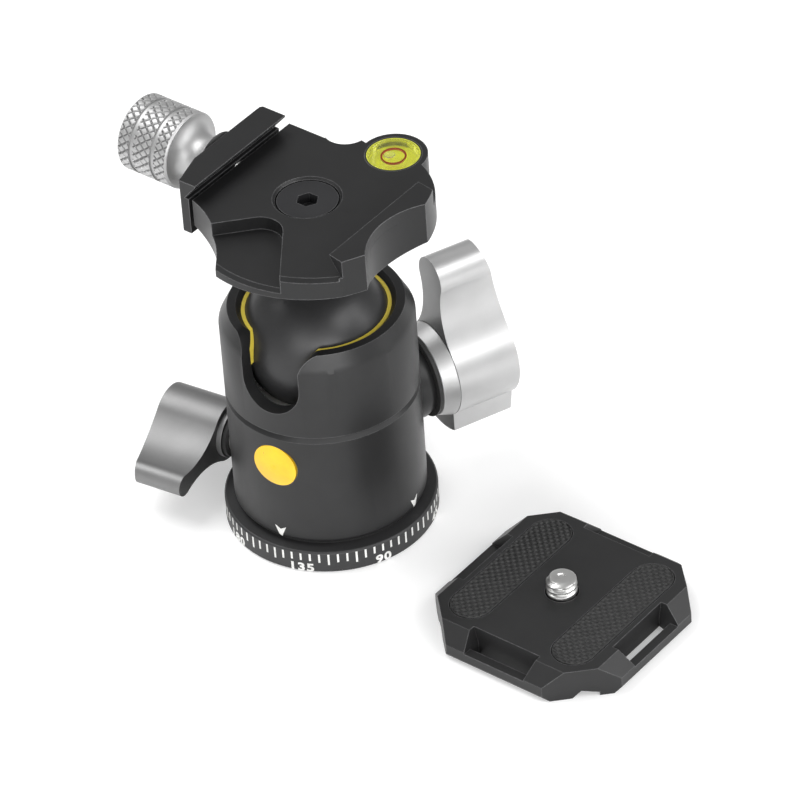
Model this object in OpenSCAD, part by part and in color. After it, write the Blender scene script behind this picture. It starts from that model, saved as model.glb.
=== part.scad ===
// Tripod ball head with a pan base, a jaw clamp and a loose camera plate.
// Millimetres, Z up, origin on the pan axis at the underside of the base.
// Face -Y is the head's front; the clamp's jaw opens towards -X.

/* [Fits] */
// Radial gap of a running fit
run_gap = 0.05; // [0.02:0.01:0.1]
// Gap between seated pieces that move against each other
seat_gap = 0.25; // [0.1:0.05:0.5]
// Overrun of every cut
over = 1; // [0.5:0.5:3]

/* [Base] */
// Outer radius of the degree ring
base_r = 22.15; // [18:0.05:30]
// Height of the degree ring
base_h = 5.2; // [4:0.1:9]
// Chamfer round the degree ring's top
base_edge = 0.35; // [0.1:0.05:1]
// Width of the degree ring, from its rim to the hub
ring_w = 4.75; // [3:0.05:7]
// Inset of the broad spigot from the casing's skin
spigot_in = 6; // [5.5:0.1:10]
// Height of the broad spigot above the ring
spigot_h = 10; // [6:0.1:14]
// Radius of the spigot's narrow neck
neck_r = 10; // [8:0.1:12]
// Radius of the keeper ring on the neck
keeper_r = 12.8; // [11:0.1:15]
// Thickness of the keeper ring
keeper_t = 2; // [1:0.1:3]
// Outer radius of the thread bush
bush_r = 6.6; // [5.5:0.1:8]
// Length of the thread bush
bush_h = 12; // [6:0.5:15]
// Core radius of the tripod thread
thread_r = 3.97; // [2.5:0.01:5]
// Thickness of the pan washer
pan_shim_t = 0.45; // [0.2:0.05:1]
// Inset of the pan washer's rim
pan_shim_in = 1.1; // [0.5:0.1:2]

/* [Casing] */
// Turn of the casing group at rest, degrees
head_turn = 7.7; // [-180:0.1:180]
// Outer radius of the casing
case_r = 20; // [18:0.1:24]
// Height of the casing
case_h = 47.45; // [40:0.05:60]
// Wall of the casing round its cavity
case_wall = 3.05; // [2:0.05:5]
// Rounding of the casing's foot
foot_round = 1.5; // [0.5:0.1:3]
// Height of the shoulder chamfer
shoulder_h = 3.55; // [1:0.05:5]
// Inward run of the shoulder chamfer
shoulder_in = 1.87; // [0.5:0.01:2.2]
// Height of the groove's lower edge above the casing's foot
groove_up = 26.3; // [20:0.1:32]
// Height of the groove's sloped side
groove_h = 1.05; // [0.5:0.05:2]
// Height of the groove's flat bottom
groove_flat = 0.45; // [0.2:0.05:1]
// Depth of the groove
groove_d = 0.75; // [0.3:0.05:1.2]
// Thickness of the inner web
web_t = 2.5; // [1.5:0.1:4]
// Depth of the bevel inside the mouth
mouth_h = 1.1; // [0.5:0.1:2]
// Inward run of the bevel inside the mouth
mouth_in = 1.05; // [0.3:0.05:1.4]
// Radius of the drop notch
notch_r = 6.5; // [6:0.1:8]
// Radius of the flare at the notch's top
flare_r = 4.5; // [2:0.1:7]
// Share of the flare's radius that lies under the casing's top
flare_share = 0.92; // [0.7:0.01:0.97]

/* [Ball] */
// Depth of the ball's centre below the casing's top
ball_drop = 8.05; // [7:0.05:10]
// Radius of the stem
stem_r = 6.2; // [4.5:0.1:6.3]
// Radius of the stem's top flange
flange_r = 10.5; // [8:0.1:14]
// Thickness of the stem's top flange
flange_t = 1.6; // [1:0.1:3]
// Height of the cone between stem and flange
flange_cone = 2.2; // [1:0.1:3]
// Wall of the coloured liner
liner_t = 0.9; // [0.6:0.05:1.2]
// Height of the liner's foot above the ball's centre
liner_up = 0.5; // [0:0.1:2]
// Height of the liner's straight side
liner_side = 4; // [2:0.1:4.5]
// Wall of the cup at its rim
cup_t = 1.3; // [0.8:0.1:2]
// Depth of the cup's rim below the ball's centre
cup_drop = 9; // [7.5:0.1:11]
// Radius of the hole under the ball
cup_hole = 5; // [3:0.1:8]
// Thickness of the cup under the ball
cup_base = 1.5; // [1:0.1:2]

/* [Clamp] */
// Height of the ball's centre to the clamp's underside
clamp_up = 25.5; // [24:0.1:30]
// Thickness of the clamp's body
body_t = 8.5; // [7:0.1:12]
// Height of the jaws above the bed
jaw_h = 3.9; // [3:0.1:6]
// Distance of the fixed lip from the axis
lip_x = 18.8; // [17:0.1:23]
// Distance of the moving lip from the axis, jaw closed
lip_move = 17.5; // [15:0.1:21]
// Run of the undercut below the lips
under_in = 3; // [1:0.1:4]
// Thickness of a lip's edge
lip_t = 0.35; // [0.2:0.05:1]
// Distance of the body's left wall from the axis
wall_x = 18.7; // [17:0.1:22]
// Gap between the body and the moving jaw
slit = 0.8; // [0.5:0.1:2]
// Thickness of the moving jaw's wall
jaw_t = 4.8; // [3:0.1:7]
// Reach of the moving jaw towards the back
jaw_back = 15.4; // [12:0.1:20]
// Reach of the moving jaw towards the front
jaw_front = 13.6; // [12:0.1:20]
// Length of the slanted corner in front
jaw_cut_y = 9.4; // [1:0.1:13]
// Depth of the slanted corner in front
jaw_cut_x = 2.7; // [0.5:0.1:4]
// Chamfer of the jaw's back corner
jaw_cut_back = 1.1; // [0.3:0.1:2]
// Chamfer along the jaw's outer top edge
jaw_edge = 0.6; // [0.2:0.1:1.5]
// Distance of the fixed jaw's outer side from the axis
side_x = 24.8; // [22:0.1:30]
// Radius of the body's front arc
nose_r = 27.2; // [24:0.1:36]
// Centre of the front arc, sideways
nose_x = 2.5; // [0:0.1:6]
// Centre of the front arc, lengthways
nose_y = 1.5; // [0:0.1:8]
// Radius of the body's arc at the back right
heel_r = 20.6; // [18:0.1:24]
// Centre of that arc, sideways
heel_x = 4.5; // [2:0.1:8]
// Centre of that arc, lengthways
heel_y = 2.3; // [0:0.1:6]
// Front corner of the fixed jaw, sideways
tooth_x = 22.35; // [20:0.05:24]
// Front corner of the fixed jaw, lengthways
tooth_y = 17.1; // [14:0.1:20]
// Outer corner of the fixed jaw, lengthways
shoulder_y = 12.6; // [9:0.1:15]
// Slant of the fixed jaw's front end, degrees
tooth_slant = 10; // [0:1:30]
// Back end of the fixed jaw at its lip
fixed_back = 12.2; // [8:0.1:16]
// Slant of the fixed jaw's back end, degrees
back_slant = 8; // [0:1:40]
// Radius of the scallop in the fixed jaw
scoop_r = 16; // [8:0.1:30]
// Depth of the scallop in the fixed jaw
scoop_d = 3.5; // [1:0.1:4.5]
// Centre of that scallop, lengthways
scoop_y = 2.7; // [0:0.1:6]
// Distance of the bed's back edge from the axis
back_y = 17.8; // [16:0.1:20]
// Sideways place of the bed's rounded back corner
back_x = 9.6; // [8:0.1:12]
// Radius of the hollow beside the level's lobe
hollow_r = 4.7; // [3:0.1:7]
// Centre of the hollow, sideways
hollow_x = 7.4; // [5:0.1:9]
// Centre of the hollow, lengthways
hollow_y = 22.2; // [20:0.1:25]
// Radius of the front left scallop
bite_r = 25.6; // [6:0.1:40]
// Centre of the front left scallop, sideways
bite_x = 25.8; // [14:0.1:40]
// Centre of the front left scallop, lengthways
bite_y = 38; // [20:0.1:50]
// Depth of the front pocket
pocket_d = 3; // [1:0.1:5]
// Corner radius of the front pocket
pocket_r = 5; // [3:0.1:10]
// Corner centre of the pocket, sideways
pocket_x = 1.1; // [0:0.05:3]
// Corner centre of the pocket, lengthways
pocket_y = 14.5; // [12:0.1:20]
// Slant of the pocket's left side, degrees
pocket_left = 47; // [30:0.1:60]
// Slant of the pocket's right side, degrees
pocket_right = 54; // [30:0.1:70]
// Radius of the body's flat underside
under_r = 16; // [13:0.1:20]
// Radius at which the sloped underside is measured
under_out = 27.5; // [24:0.1:30]
// Rise of the sloped underside up to there
under_h = 3.7; // [1:0.1:5]
// Chamfer along the bed's front edge
bed_edge = 0.8; // [0.3:0.1:1.5]

/* [Clamp screw] */
// Radius of the clamp bolt's shank
bolt_r = 3; // [2:0.1:3.5]
// Radius of the clamp bolt's head
head_r = 6.25; // [5:0.05:7]
// Height of the head's straight rim
head_rim = 0.6; // [0.2:0.1:1]
// Depth of the head below the bed
head_sink = 0.55; // [0.2:0.05:1]
// Radius of the recess round the head
sink_r = 6.55; // [5.5:0.05:8]
// Chamfer round the recess
sink_edge = 0.5; // [0.2:0.1:1]
// Width of the hex socket
hex_w = 4; // [3:0.1:5]
// Depth of the hex socket
hex_d = 2.4; // [1:0.1:3]
// Depth of the bolt in the stem
bolt_in = 11; // [6:0.5:14]
// Height of the clamp screw's axis above the underside
screw_up = 6; // [4:0.1:6.2]
// Place of the clamp screw, lengthways
screw_y = 2; // [-4:0.1:4]
// Radius of the clamp screw
screw_r = 2; // [1.5:0.1:2]
// Inner end of the clamp screw from the axis
screw_in = 7.5; // [7:0.1:12]
// Length of the clamp knob's barrel
grip_l = 12.7; // [8:0.1:20]
// Radius of the clamp knob's barrel
grip_r = 8.2; // [6:0.1:12]
// Length of the knob's bell neck
bell_l = 7.1; // [3:0.1:9]
// Radius of the knob's neck
bell_r = 4.6; // [3:0.1:7]
// Width of a groove between the knurled bands
band_w = 0.75; // [0.3:0.05:1.5]
// Depth of that groove
band_d = 0.45; // [0.2:0.05:1]
// Place of the outer groove from the knob's outer face
band_a = 3.2; // [2:0.1:6]
// Place of the inner groove from the knob's outer face
band_b = 8.7; // [6:0.1:11]
// Chamfer of the knob's rims
grip_edge = 0.5; // [0.2:0.1:1]
// Wall closing the knob's bore
grip_wall = 2.2; // [1:0.1:4]
// Travel space at the end of the clamp screw
end_play = 1; // [0.6:0.1:3]
// Radius of the guide pins
pin_r = 1.5; // [1:0.1:2]
// Distance of the guide pins from the screw
pin_y = 9.5; // [7:0.1:12]
// Reach of the guide pins into the body
pin_in = 11.5; // [10:0.1:13]
// Thickness of the thrust washer under the knob
thrust_t = 0.5; // [0.3:0.1:1]

/* [Level] */
// Place of the level, sideways
level_x = 5.5; // [3:0.1:8]
// Place of the level, lengthways
level_y = 21; // [18:0.1:24]
// Radius of the lobe round the level
lobe_r = 7; // [6.5:0.1:8]
// Outer radius of the level's cup
level_r = 5.8; // [5:0.05:6.2]
// Wall of the level's cup
level_t = 0.45; // [0.3:0.05:1]
// Depth of the level's cup
level_d = 4.6; // [3:0.1:6]
// Floor of the level's cup
level_floor = 0.8; // [0.5:0.1:1.5]
// Thickness of the level's glass
glass_t = 1.1; // [0.6:0.1:2]
// Rise of the glass above the bed
glass_dome = 0.5; // [0.2:0.1:1]
// Radius of the target ring
mark_r = 2.6; // [1.5:0.1:3.5]
// Width of the target ring
mark_w = 0.35; // [0.2:0.05:0.6]
// Radius of the bubble
bubble_r = 1.15; // [0.6:0.05:1.5]
// Place of the bubble left of the ring's centre
bubble_off = 1; // [0:0.1:1.4]

/* [Main knob] */
// Bearing of the main knob from the notch, degrees
main_turn = 150; // [90:1:270]
// Radius of the boss's foot
boss_r = 8.6; // [7:0.1:9.5]
// Radius of the boss's end
boss_end = 7.9; // [6:0.1:8.5]
// Depth of the boss's seat below the casing's skin
boss_in = 2; // [1:0.1:2.2]
// Straight length of the boss
boss_l = 2.2; // [1:0.1:4]
// Tapered length of the boss
boss_taper = 1.8; // [0.5:0.1:4]
// Thickness of the rubber washer
rubber_t = 0.8; // [0.4:0.1:2]
// Radius of the flange towards the casing
collar_a = 9.2; // [8:0.1:10]
// Radius of the flange towards the knob
collar_b = 10.35; // [9:0.05:11.5]
// Thickness of the flange
collar_t = 3.5; // [2:0.1:5]
// Radius of the knob's hub
main_hub = 10.3; // [8:0.1:12]
// Depth of the knob's hub
main_l = 14.6; // [10:0.1:20]
// Reach of the knob's wing
main_wing = 27.8; // [20:0.1:34]
// Radius of the wing's tip
main_tip = 4.5; // [3:0.1:6]
// Radius of the hollows beside the wing
main_fillet = 15.5; // [10:0.1:20]
// Reach of the short tail
tail_r = 14; // [11:0.1:18]
// Width of the short tail
tail_w = 12.6; // [8:0.1:16]
// Doming radius of the knob's outer face
main_dome = 95; // [60:1:200]
// Radius of the main screw
main_screw_r = 3; // [2:0.1:4]
// Inner end of the main screw beyond the axis
main_screw_in = 8; // [2:0.1:12]
// Length of the main screw inside the knob
main_screw_out = 8; // [4:0.1:12]
// Gap round the press block
block_gap = 1.15; // [0.2:0.05:4]
// Radius of the cap in the knob's face
main_cap_r = 4; // [2:0.1:6]
// Depth of the cap's recess
cap_d = 2.2; // [1:0.1:4]
// Sink of the cap below the dome
cap_sink = 0.8; // [0.3:0.1:1.5]
// Width of the caps' hex sockets
cap_hex = 3; // [2:0.1:3.5]

/* [Pan knob] */
// Bearing of the pan knob from the notch, degrees
pan_turn = -90; // [-120:1:-60]
// Height of the pan knob's axis
pan_up = 11; // [10:0.1:13]
// Radius of the pan shaft's sleeve
sleeve_r = 3.8; // [3.2:0.1:5]
// Reach of the sleeve beyond the casing's skin
sleeve_out = 2; // [1:0.1:4]
// Depth of the sleeve's seat below the casing's skin
sleeve_in = 2.5; // [1:0.1:4]
// Radius of the black ring
ring_r = 5; // [4.5:0.1:6]
// Thickness of the black ring
ring_t = 0.9; // [0.5:0.1:2]
// Radius of the silver collar
pan_collar_r = 5.45; // [5:0.05:6.5]
// Thickness of the silver collar
pan_collar_t = 1.2; // [0.6:0.1:2]
// Radius of the pan knob's hub
pan_hub = 6.6; // [6:0.1:8]
// Depth of the pan knob's hub
pan_l = 14.6; // [8:0.1:18]
// Reach of the pan knob's wing
pan_wing = 20.3; // [14:0.1:24]
// Radius of the pan wing's tip
pan_tip = 2.4; // [1.5:0.1:4]
// Radius of the hollows beside the pan wing
pan_fillet = 15; // [10:0.1:20]
// Droop of the pan wing below level, degrees
pan_droop = 5; // [-20:1:40]
// Doming radius of the pan knob's outer face
pan_dome = 55; // [40:1:120]
// Radius of the pan screw
pan_screw_r = 2.5; // [2:0.1:3]
// Length of the pan screw inside the knob
pan_screw_out = 8; // [4:0.1:12]
// Radius of the brake tip
brake_r = 2.3; // [1.5:0.1:2.5]
// Length of the brake tip
brake_l = 1.5; // [0.8:0.1:2.5]
// Radius of the pan knob's cap
pan_cap_r = 3; // [2:0.1:4.5]

/* [Badge] */
// Radius of the badge
badge_r = 4.9; // [3:0.1:6]
// Height of the badge's centre
badge_up = 24.9; // [22:0.1:27]
// Depth of the badge's seat below the casing's skin
badge_in = 1.5; // [1.2:0.1:1.9]
// Rise of the badge above the casing's skin
badge_out = 0.55; // [0.2:0.05:1]
// Doming radius of the badge
badge_dome = 22; // [12:1:60]

/* [Plate] */
// Place of the plate, sideways
plate_x = 61.3; // [45:0.1:90]
// Place of the plate, towards the front
plate_y = 2.6; // [-20:0.1:20]
// Thickness of the plate
plate_t = 7; // [6:0.1:10]
// Half width of the plate's top
top_half = 20; // [17:0.1:24]
// Half width of the plate at its rim
rim_half = 23.3; // [20:0.1:26]
// Half width of the plate's underside
foot_half = 22.2; // [19:0.1:24]
// Height of the rim's lower edge
rim_low = 1.4; // [0.5:0.1:2.5]
// Height of the rim's upper edge
rim_high = 3.7; // [2.5:0.1:5]
// Distance of the cut corners from the centre
corner_d = 24.9; // [22:0.1:30]
// Half width of the rail between the underside's grooves
rail_half = 16.2; // [12:0.1:18]
// Width of an underside groove at its floor
rail_gap = 2.6; // [1:0.1:4]
// Slope run of the rail's side
rail_slope = 1.3; // [0.5:0.1:2]
// Depth of the underside grooves
rail_d = 1.7; // [0.5:0.1:2.5]
// Half length of a strap slot
slot_half = 7.3; // [5:0.1:10]
// Distance of a strap slot's inner side from the centre
slot_in = 18.6; // [17:0.1:20]
// Width of a strap slot
slot_w = 2.7; // [1.5:0.1:3.5]
// Height of the shelf beside a strap slot
slot_shelf = 3.4; // [2:0.1:4.5]
// End slope of a strap pocket
slot_end = 1.2; // [0.5:0.1:3]
// Distance of the pads' middle from the centre
pad_x = 12.75; // [10:0.05:15]
// Radius of the pads' ends
pad_r = 4.6; // [3:0.1:6]
// Half length of the pads
pad_half = 17.8; // [14:0.1:19]
// Depth of the pads' recess
pad_in = 1.2; // [0.5:0.1:2]
// Rise of the pads above the plate
pad_out = 0.3; // [0.1:0.05:1]

/* [Camera screw] */
// Radius of the camera screw
cam_r = 3.175; // [2.5:0.005:5]
// Radius of the camera screw's neck inside the plate
cam_neck_r = 2.6; // [1.8:0.05:3]
// Rise of the camera screw above the plate
cam_up = 3.7; // [3:0.1:6]
// Chamfer of the camera screw's end
cam_edge = 0.85; // [0.3:0.05:1.2]
// Radius of the camera screw's head
cam_head_r = 7; // [5:0.1:8]
// Thickness of the camera screw's head
cam_head_t = 2.4; // [1.5:0.1:3]
// Height of the head above the plate's underside
cam_sink = 0.6; // [0.3:0.1:1.5]
// Width of the coin slot in the head
coin_w = 1.4; // [0.8:0.1:2]
// Depth of the coin slot
coin_d = 1.1; // [0.5:0.1:1.5]
// Thickness of the keeper clip
clip_t = 0.6; // [0.4:0.1:1]
// Radius of the keeper clip
clip_r = 4.6; // [4:0.1:6]

/* [Hidden] */
$fn = 64;

// Radii that follow the degree ring and the casing
hub_r = base_r - ring_w;
spigot_r = case_r - spigot_in;
cavity_r = case_r - case_wall;
ball_r = cavity_r - liner_t - run_gap;
block_r = cavity_r - block_gap;
// Heights above the ground
case_z = base_h + pan_shim_t;
web_z = base_h + spigot_h + seat_gap;
web_top = web_z + web_t;
neck_top = web_top + run_gap;
keeper_top = neck_top + keeper_t;
case_top = case_z + case_h;
ball_z = case_top - ball_drop;
liner_top = case_top - mouth_h;
rim_r = case_r - shoulder_in;
mouth_r = rim_r - shoulder_in - mouth_in + run_gap;
cup_foot = ball_z - ball_r - cup_base;
block_z = keeper_top + seat_gap;
block_top = cup_foot - seat_gap;
main_up = block_top - main_screw_r;
body_z = ball_z + clamp_up;
bed_z = body_z + body_t;
jaw_top = bed_z + jaw_h;
screw_z = body_z + screw_up;
jaw_in = wall_x + slit;
jaw_out = jaw_in + jaw_t;
floor_z = bed_z - pocket_d;
flange_top = body_z - run_gap;
bolt_top = bed_z - head_sink;
cone_h = head_r - bolt_r;
grip_in = jaw_out + thrust_t;
grip_rim = grip_in + bell_l;
grip_out = grip_rim + grip_l;
stud_out = grip_out - grip_wall - end_play;
// Distances along the knobs' axes
boss_seat = case_r - boss_in;
boss_out = boss_seat + boss_l + boss_taper;
rubber_out = boss_out + rubber_t;
collar_in = rubber_out + run_gap;
collar_out = collar_in + collar_t;
main_in = collar_out;
main_out = main_in + main_l;
sleeve_seat = case_r - sleeve_in;
sleeve_end = case_r + sleeve_out;
ring_end = sleeve_end + ring_t;
pan_collar_in = ring_end + run_gap;
pan_in = pan_collar_in + pan_collar_t;
pan_out = pan_in + pan_l;
brake_in = spigot_r + 3 * run_gap;
// Reaches of cuts that pass through a whole piece
far = 2 * side_x + 2 * over;
tall = case_h + body_t;
plate_far = 2 * rim_half + 2 * over;

module ring(z0, z1, ro, ri) {
    translate([0, 0, z0]) difference() {
        cylinder(h = z1 - z0, r = ro);
        translate([0, 0, -over]) cylinder(h = z1 - z0 + 2 * over, r = ri);
    }
}

module rod(z0, z1, r) {
    translate([0, 0, z0]) cylinder(h = z1 - z0, r = r);
}

// Stands a piece drawn along Z on a level axis; its plan's +Y points up
module on_axis(turn, z) {
    rotate([0, 0, turn]) translate([0, 0, z]) rotate([0, 90, 0]) rotate([0, 0, 90]) children();
}

module on_main() {
    on_axis(head_turn + main_turn - 90, main_up) children();
}

module on_pan() {
    on_axis(head_turn + pan_turn - 90, pan_up) children();
}

module on_front(z) {
    on_axis(head_turn - 90, z) children();
}

// Plan of a wing knob: hub, wing and the tangent hollows between them
module wing(hub, reach, tip, fillet) {
    span = reach - tip;
    cy = (pow(hub + fillet, 2) - pow(tip + fillet, 2) + span * span) / (2 * span);
    cx = sqrt(pow(hub + fillet, 2) - cy * cy);
    hub_share = (hub + over) / (hub + fillet);
    tip_share = (tip + over) / (tip + fillet);
    tx = cx * tip_share;
    ty = span + (cy - span) * tip_share;
    difference() {
        polygon([[0, 0], [cx * hub_share, cy * hub_share], [tx, ty], [0, span], [-tx, ty],
            [-cx * hub_share, cy * hub_share]]);
        for (s = [-1, 1]) translate([s * cx, cy]) circle(r = fillet + run_gap / 2);
    }
    circle(r = hub);
    translate([0, span]) circle(r = tip);
}

module scale_ring() {
    color([0.09, 0.09, 0.1]) rotate_extrude() polygon([[hub_r, 0], [base_r - base_edge, 0],
        [base_r, base_edge], [base_r, base_h - base_edge], [base_r - base_edge, base_h],
        [hub_r, base_h]]);
}

module base_hub() {
    color([0.13, 0.13, 0.14]) ring(0, base_h, hub_r, bush_r);
}

module base_spigot() {
    color([0.13, 0.13, 0.14]) rotate_extrude() polygon([[bush_r, base_h], [spigot_r, base_h],
        [spigot_r, base_h + spigot_h], [neck_r, base_h + spigot_h], [neck_r, neck_top],
        [thread_r, neck_top], [thread_r, bush_h], [bush_r, bush_h]]);
}

module thread_bush() {
    color([0.78, 0.66, 0.4]) ring(0, bush_h, bush_r, thread_r);
}

module pan_shim() {
    color([0.05, 0.05, 0.05]) ring(base_h, case_z, case_r - pan_shim_in, spigot_r);
}

module keeper_ring() {
    color([0.6, 0.6, 0.62]) ring(neck_top, keeper_top, keeper_r, thread_r);
}

// Cut of the drop notch, looking along its own axis
module notch_plan() {
    rise = case_top - ball_z - flare_r * flare_share;
    circle(r = notch_r);
    translate([-notch_r, 0]) square([2 * notch_r, rise]);
    difference() {
        translate([-notch_r - flare_r, rise]) square([2 * (notch_r + flare_r), flare_r + over]);
        for (s = [-1, 1]) translate([s * (notch_r + flare_r), rise]) circle(r = flare_r);
    }
}

module notch_cut() {
    on_front(ball_z) rod_plan(far);
}

module rod_plan(l) {
    linear_extrude(height = l) notch_plan();
}

module casing_skin() {
    rotate_extrude() union() {
        translate([case_r - foot_round, case_z + foot_round]) circle(r = foot_round);
        square_from(0, case_z, case_r - foot_round, case_z + 2 * foot_round);
        polygon([[0, case_z + foot_round], [case_r, case_z + foot_round],
            [case_r, case_z + groove_up], [case_r - groove_d, case_z + groove_up + groove_h],
            [case_r - groove_d, case_z + groove_up + groove_h + groove_flat],
            [case_r, case_z + groove_up + groove_h + groove_flat],
            [case_r, case_top - shoulder_h], [rim_r, case_top], [0, case_top]]);
    }
}

module square_from(x0, y0, x1, y1) {
    translate([x0, y0]) square([x1 - x0, y1 - y0]);
}

module casing() {
    color([0.2, 0.2, 0.21]) difference() {
        casing_skin();
        rotate_extrude() polygon([[0, case_z - over], [spigot_r + run_gap, case_z - over],
            [spigot_r + run_gap, web_z], [neck_r + run_gap, web_z], [neck_r + run_gap, web_top],
            [cavity_r, web_top], [cavity_r, ball_z + liner_up + liner_side],
            [mouth_r, liner_top], [mouth_r + mouth_in, case_top],
            [mouth_r + mouth_in, case_top + over], [0, case_top + over]]);
        notch_cut();
        on_main() rod(boss_seat, far, boss_r);
        on_main() rod(cavity_r - over, far, main_screw_r + seat_gap);
        on_pan() rod(sleeve_seat, far, sleeve_r);
        on_pan() rod(spigot_r - over, far, pan_screw_r + seat_gap);
        on_front(badge_up) rod(case_r - badge_in, far, badge_r + run_gap);
    }
}

module ball_liner() {
    color([0.95, 0.78, 0.12]) difference() {
        rotate_extrude() polygon([[ball_r - liner_side, ball_z + liner_up],
            [cavity_r, ball_z + liner_up], [cavity_r, ball_z + liner_up + liner_side],
            [mouth_r, liner_top], [ball_r - liner_side, liner_top]]);
        translate([0, 0, ball_z]) sphere(r = ball_r + run_gap, $fn = 96);
        notch_cut();
    }
}

module press_block() {
    color([0.7, 0.6, 0.38]) difference() {
        ring(block_z, block_top, block_r, cup_hole);
        on_main() rod(-far, far, main_screw_r + run_gap);
    }
}

module main_boss() {
    color([0.2, 0.2, 0.21]) on_main() difference() {
        union() {
            rod(boss_seat, boss_seat + boss_l, boss_r);
            translate([0, 0, boss_seat + boss_l]) cylinder(h = boss_taper, r1 = boss_r, r2 = boss_end);
        }
        rod(boss_seat - over, boss_out + over, main_screw_r + seat_gap);
    }
}

module main_rubber() {
    color([0.05, 0.05, 0.05]) on_main()
        ring(boss_out, rubber_out, collar_a, main_screw_r + seat_gap);
}

module pan_sleeve() {
    color([0.75, 0.76, 0.78]) on_pan()
        ring(sleeve_seat, sleeve_end, sleeve_r, pan_screw_r + seat_gap);
}

module pan_ring() {
    color([0.05, 0.05, 0.05]) on_pan() ring(sleeve_end, ring_end, ring_r, pan_screw_r + seat_gap);
}

module badge() {
    crown = case_r + badge_out;
    color([0.98, 0.76, 0.08]) on_front(badge_up) intersection() {
        rod(case_r - badge_in, crown, badge_r);
        translate([0, 0, crown - badge_dome]) sphere(r = badge_dome, $fn = 96);
    }
}

module ball_cup() {
    rim = ball_z - cup_drop;
    seat = sqrt(pow(ball_r + run_gap, 2) - cup_drop * cup_drop);
    color([0.82, 0.82, 0.8]) difference() {
        ring(cup_foot, rim, seat + cup_t, cup_hole);
        translate([0, 0, ball_z]) sphere(r = ball_r + run_gap, $fn = 96);
    }
}

module ball() {
    top = clamp_up - run_gap;
    color([0.1, 0.1, 0.11]) translate([0, 0, ball_z]) difference() {
        union() {
            sphere(r = ball_r, $fn = 96);
            rotate_extrude() polygon([[0, 0], [stem_r, 0], [stem_r, top - flange_t - flange_cone],
                [flange_r, top - flange_t], [flange_r, top], [0, top]]);
        }
        rod(clamp_up - bolt_in, clamp_up + over, bolt_r);
    }
}

module clamp_bolt() {
    color([0.16, 0.16, 0.17]) difference() {
        rotate_extrude() polygon([[0, body_z - bolt_in + seat_gap],
            [bolt_r - run_gap, body_z - bolt_in + seat_gap],
            [bolt_r - run_gap, bolt_top - head_rim - cone_h], [bolt_r, bolt_top - head_rim - cone_h],
            [head_r, bolt_top - head_rim], [head_r, bolt_top], [0, bolt_top]]);
        translate([0, 0, bolt_top - hex_d])
            cylinder(h = hex_d + over, r = hex_w / sqrt(3), $fn = 6);
    }
}

module main_screw() {
    color([0.75, 0.76, 0.78]) on_main() rod(-main_screw_in, main_in + main_screw_out, main_screw_r);
}

module main_flange() {
    color([0.8, 0.81, 0.83]) on_main() difference() {
        translate([0, 0, collar_in]) cylinder(h = collar_t, r1 = collar_a, r2 = collar_b);
        rod(collar_in - over, collar_out + over, main_screw_r);
    }
}

// Cap recess at the centre of a domed face
module cap_hole(out, r) {
    rod(out - cap_d, out + over, r);
}

module main_knob() {
    color([0.82, 0.83, 0.85]) on_main() difference() {
        intersection() {
            translate([0, 0, main_in]) linear_extrude(height = main_l) union() {
                wing(main_hub, main_wing, main_tip, main_fillet);
                intersection() {
                    circle(r = tail_r);
                    translate([-tail_w / 2, -tail_r]) square([tail_w, tail_r]);
                }
            }
            translate([0, 0, main_out - main_dome]) rotate(45) sphere(r = main_dome, $fn = 128);
        }
        rod(main_in - over, main_in + main_screw_out, main_screw_r);
        cap_hole(main_out, main_cap_r);
    }
}

module cap(out, r) {
    difference() {
        rod(out - cap_d, out - cap_sink, r);
        translate([0, 0, out - cap_d + cap_sink / 2])
            cylinder(h = cap_d + over, r = cap_hex / sqrt(3), $fn = 6);
    }
}

module main_cap() {
    color([0.3, 0.3, 0.32]) on_main() cap(main_out, main_cap_r);
}

module brake_tip() {
    color([0.78, 0.66, 0.4]) on_pan() rod(brake_in, brake_in + brake_l, brake_r);
}

module pan_screw() {
    color([0.75, 0.76, 0.78]) on_pan()
        rod(brake_in + brake_l, pan_in + pan_screw_out, pan_screw_r);
}

module pan_collar() {
    color([0.75, 0.76, 0.78]) on_pan() ring(pan_collar_in, pan_in, pan_collar_r, pan_screw_r);
}

module pan_knob() {
    color([0.55, 0.56, 0.58]) on_pan() difference() {
        intersection() {
            translate([0, 0, pan_in]) linear_extrude(height = pan_l) rotate(-90 - pan_droop)
                wing(pan_hub, pan_wing, pan_tip, pan_fillet);
            translate([0, 0, pan_out - pan_dome]) sphere(r = pan_dome, $fn = 128);
        }
        rod(pan_in - over, pan_in + pan_screw_out, pan_screw_r);
        cap_hole(pan_out, pan_cap_r);
    }
}

module pan_cap() {
    color([0.3, 0.3, 0.32]) on_pan() cap(pan_out, pan_cap_r);
}

// Outline of the clamp's body from above
module body_plan() {
    difference() {
        union() {
            intersection() {
                translate([nose_x, nose_y]) circle(r = nose_r);
                translate([-wall_x, -far]) square([wall_x + side_x, far + heel_y]);
            }
            intersection() {
                translate([heel_x, heel_y]) circle(r = heel_r);
                translate([level_x, 0]) square([side_x - level_x, far]);
            }
            polygon([[-wall_x, 0], [level_x, 0], [level_x, level_y], [level_x - lobe_r, level_y],
                [-hollow_x, hollow_y], [-back_x, back_y], [-wall_x, back_y]]);
            translate([level_x, level_y]) circle(r = lobe_r);
        }
        translate([-hollow_x, hollow_y]) circle(r = hollow_r);
        translate([-bite_x, -bite_y]) circle(r = bite_r);
        translate([side_x + scoop_r - scoop_d, -scoop_y]) circle(r = scoop_r);
        polygon([[tooth_x, -tooth_y], [side_x, -shoulder_y], [far, -shoulder_y], [far, -tooth_y]]);
    }
}

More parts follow.
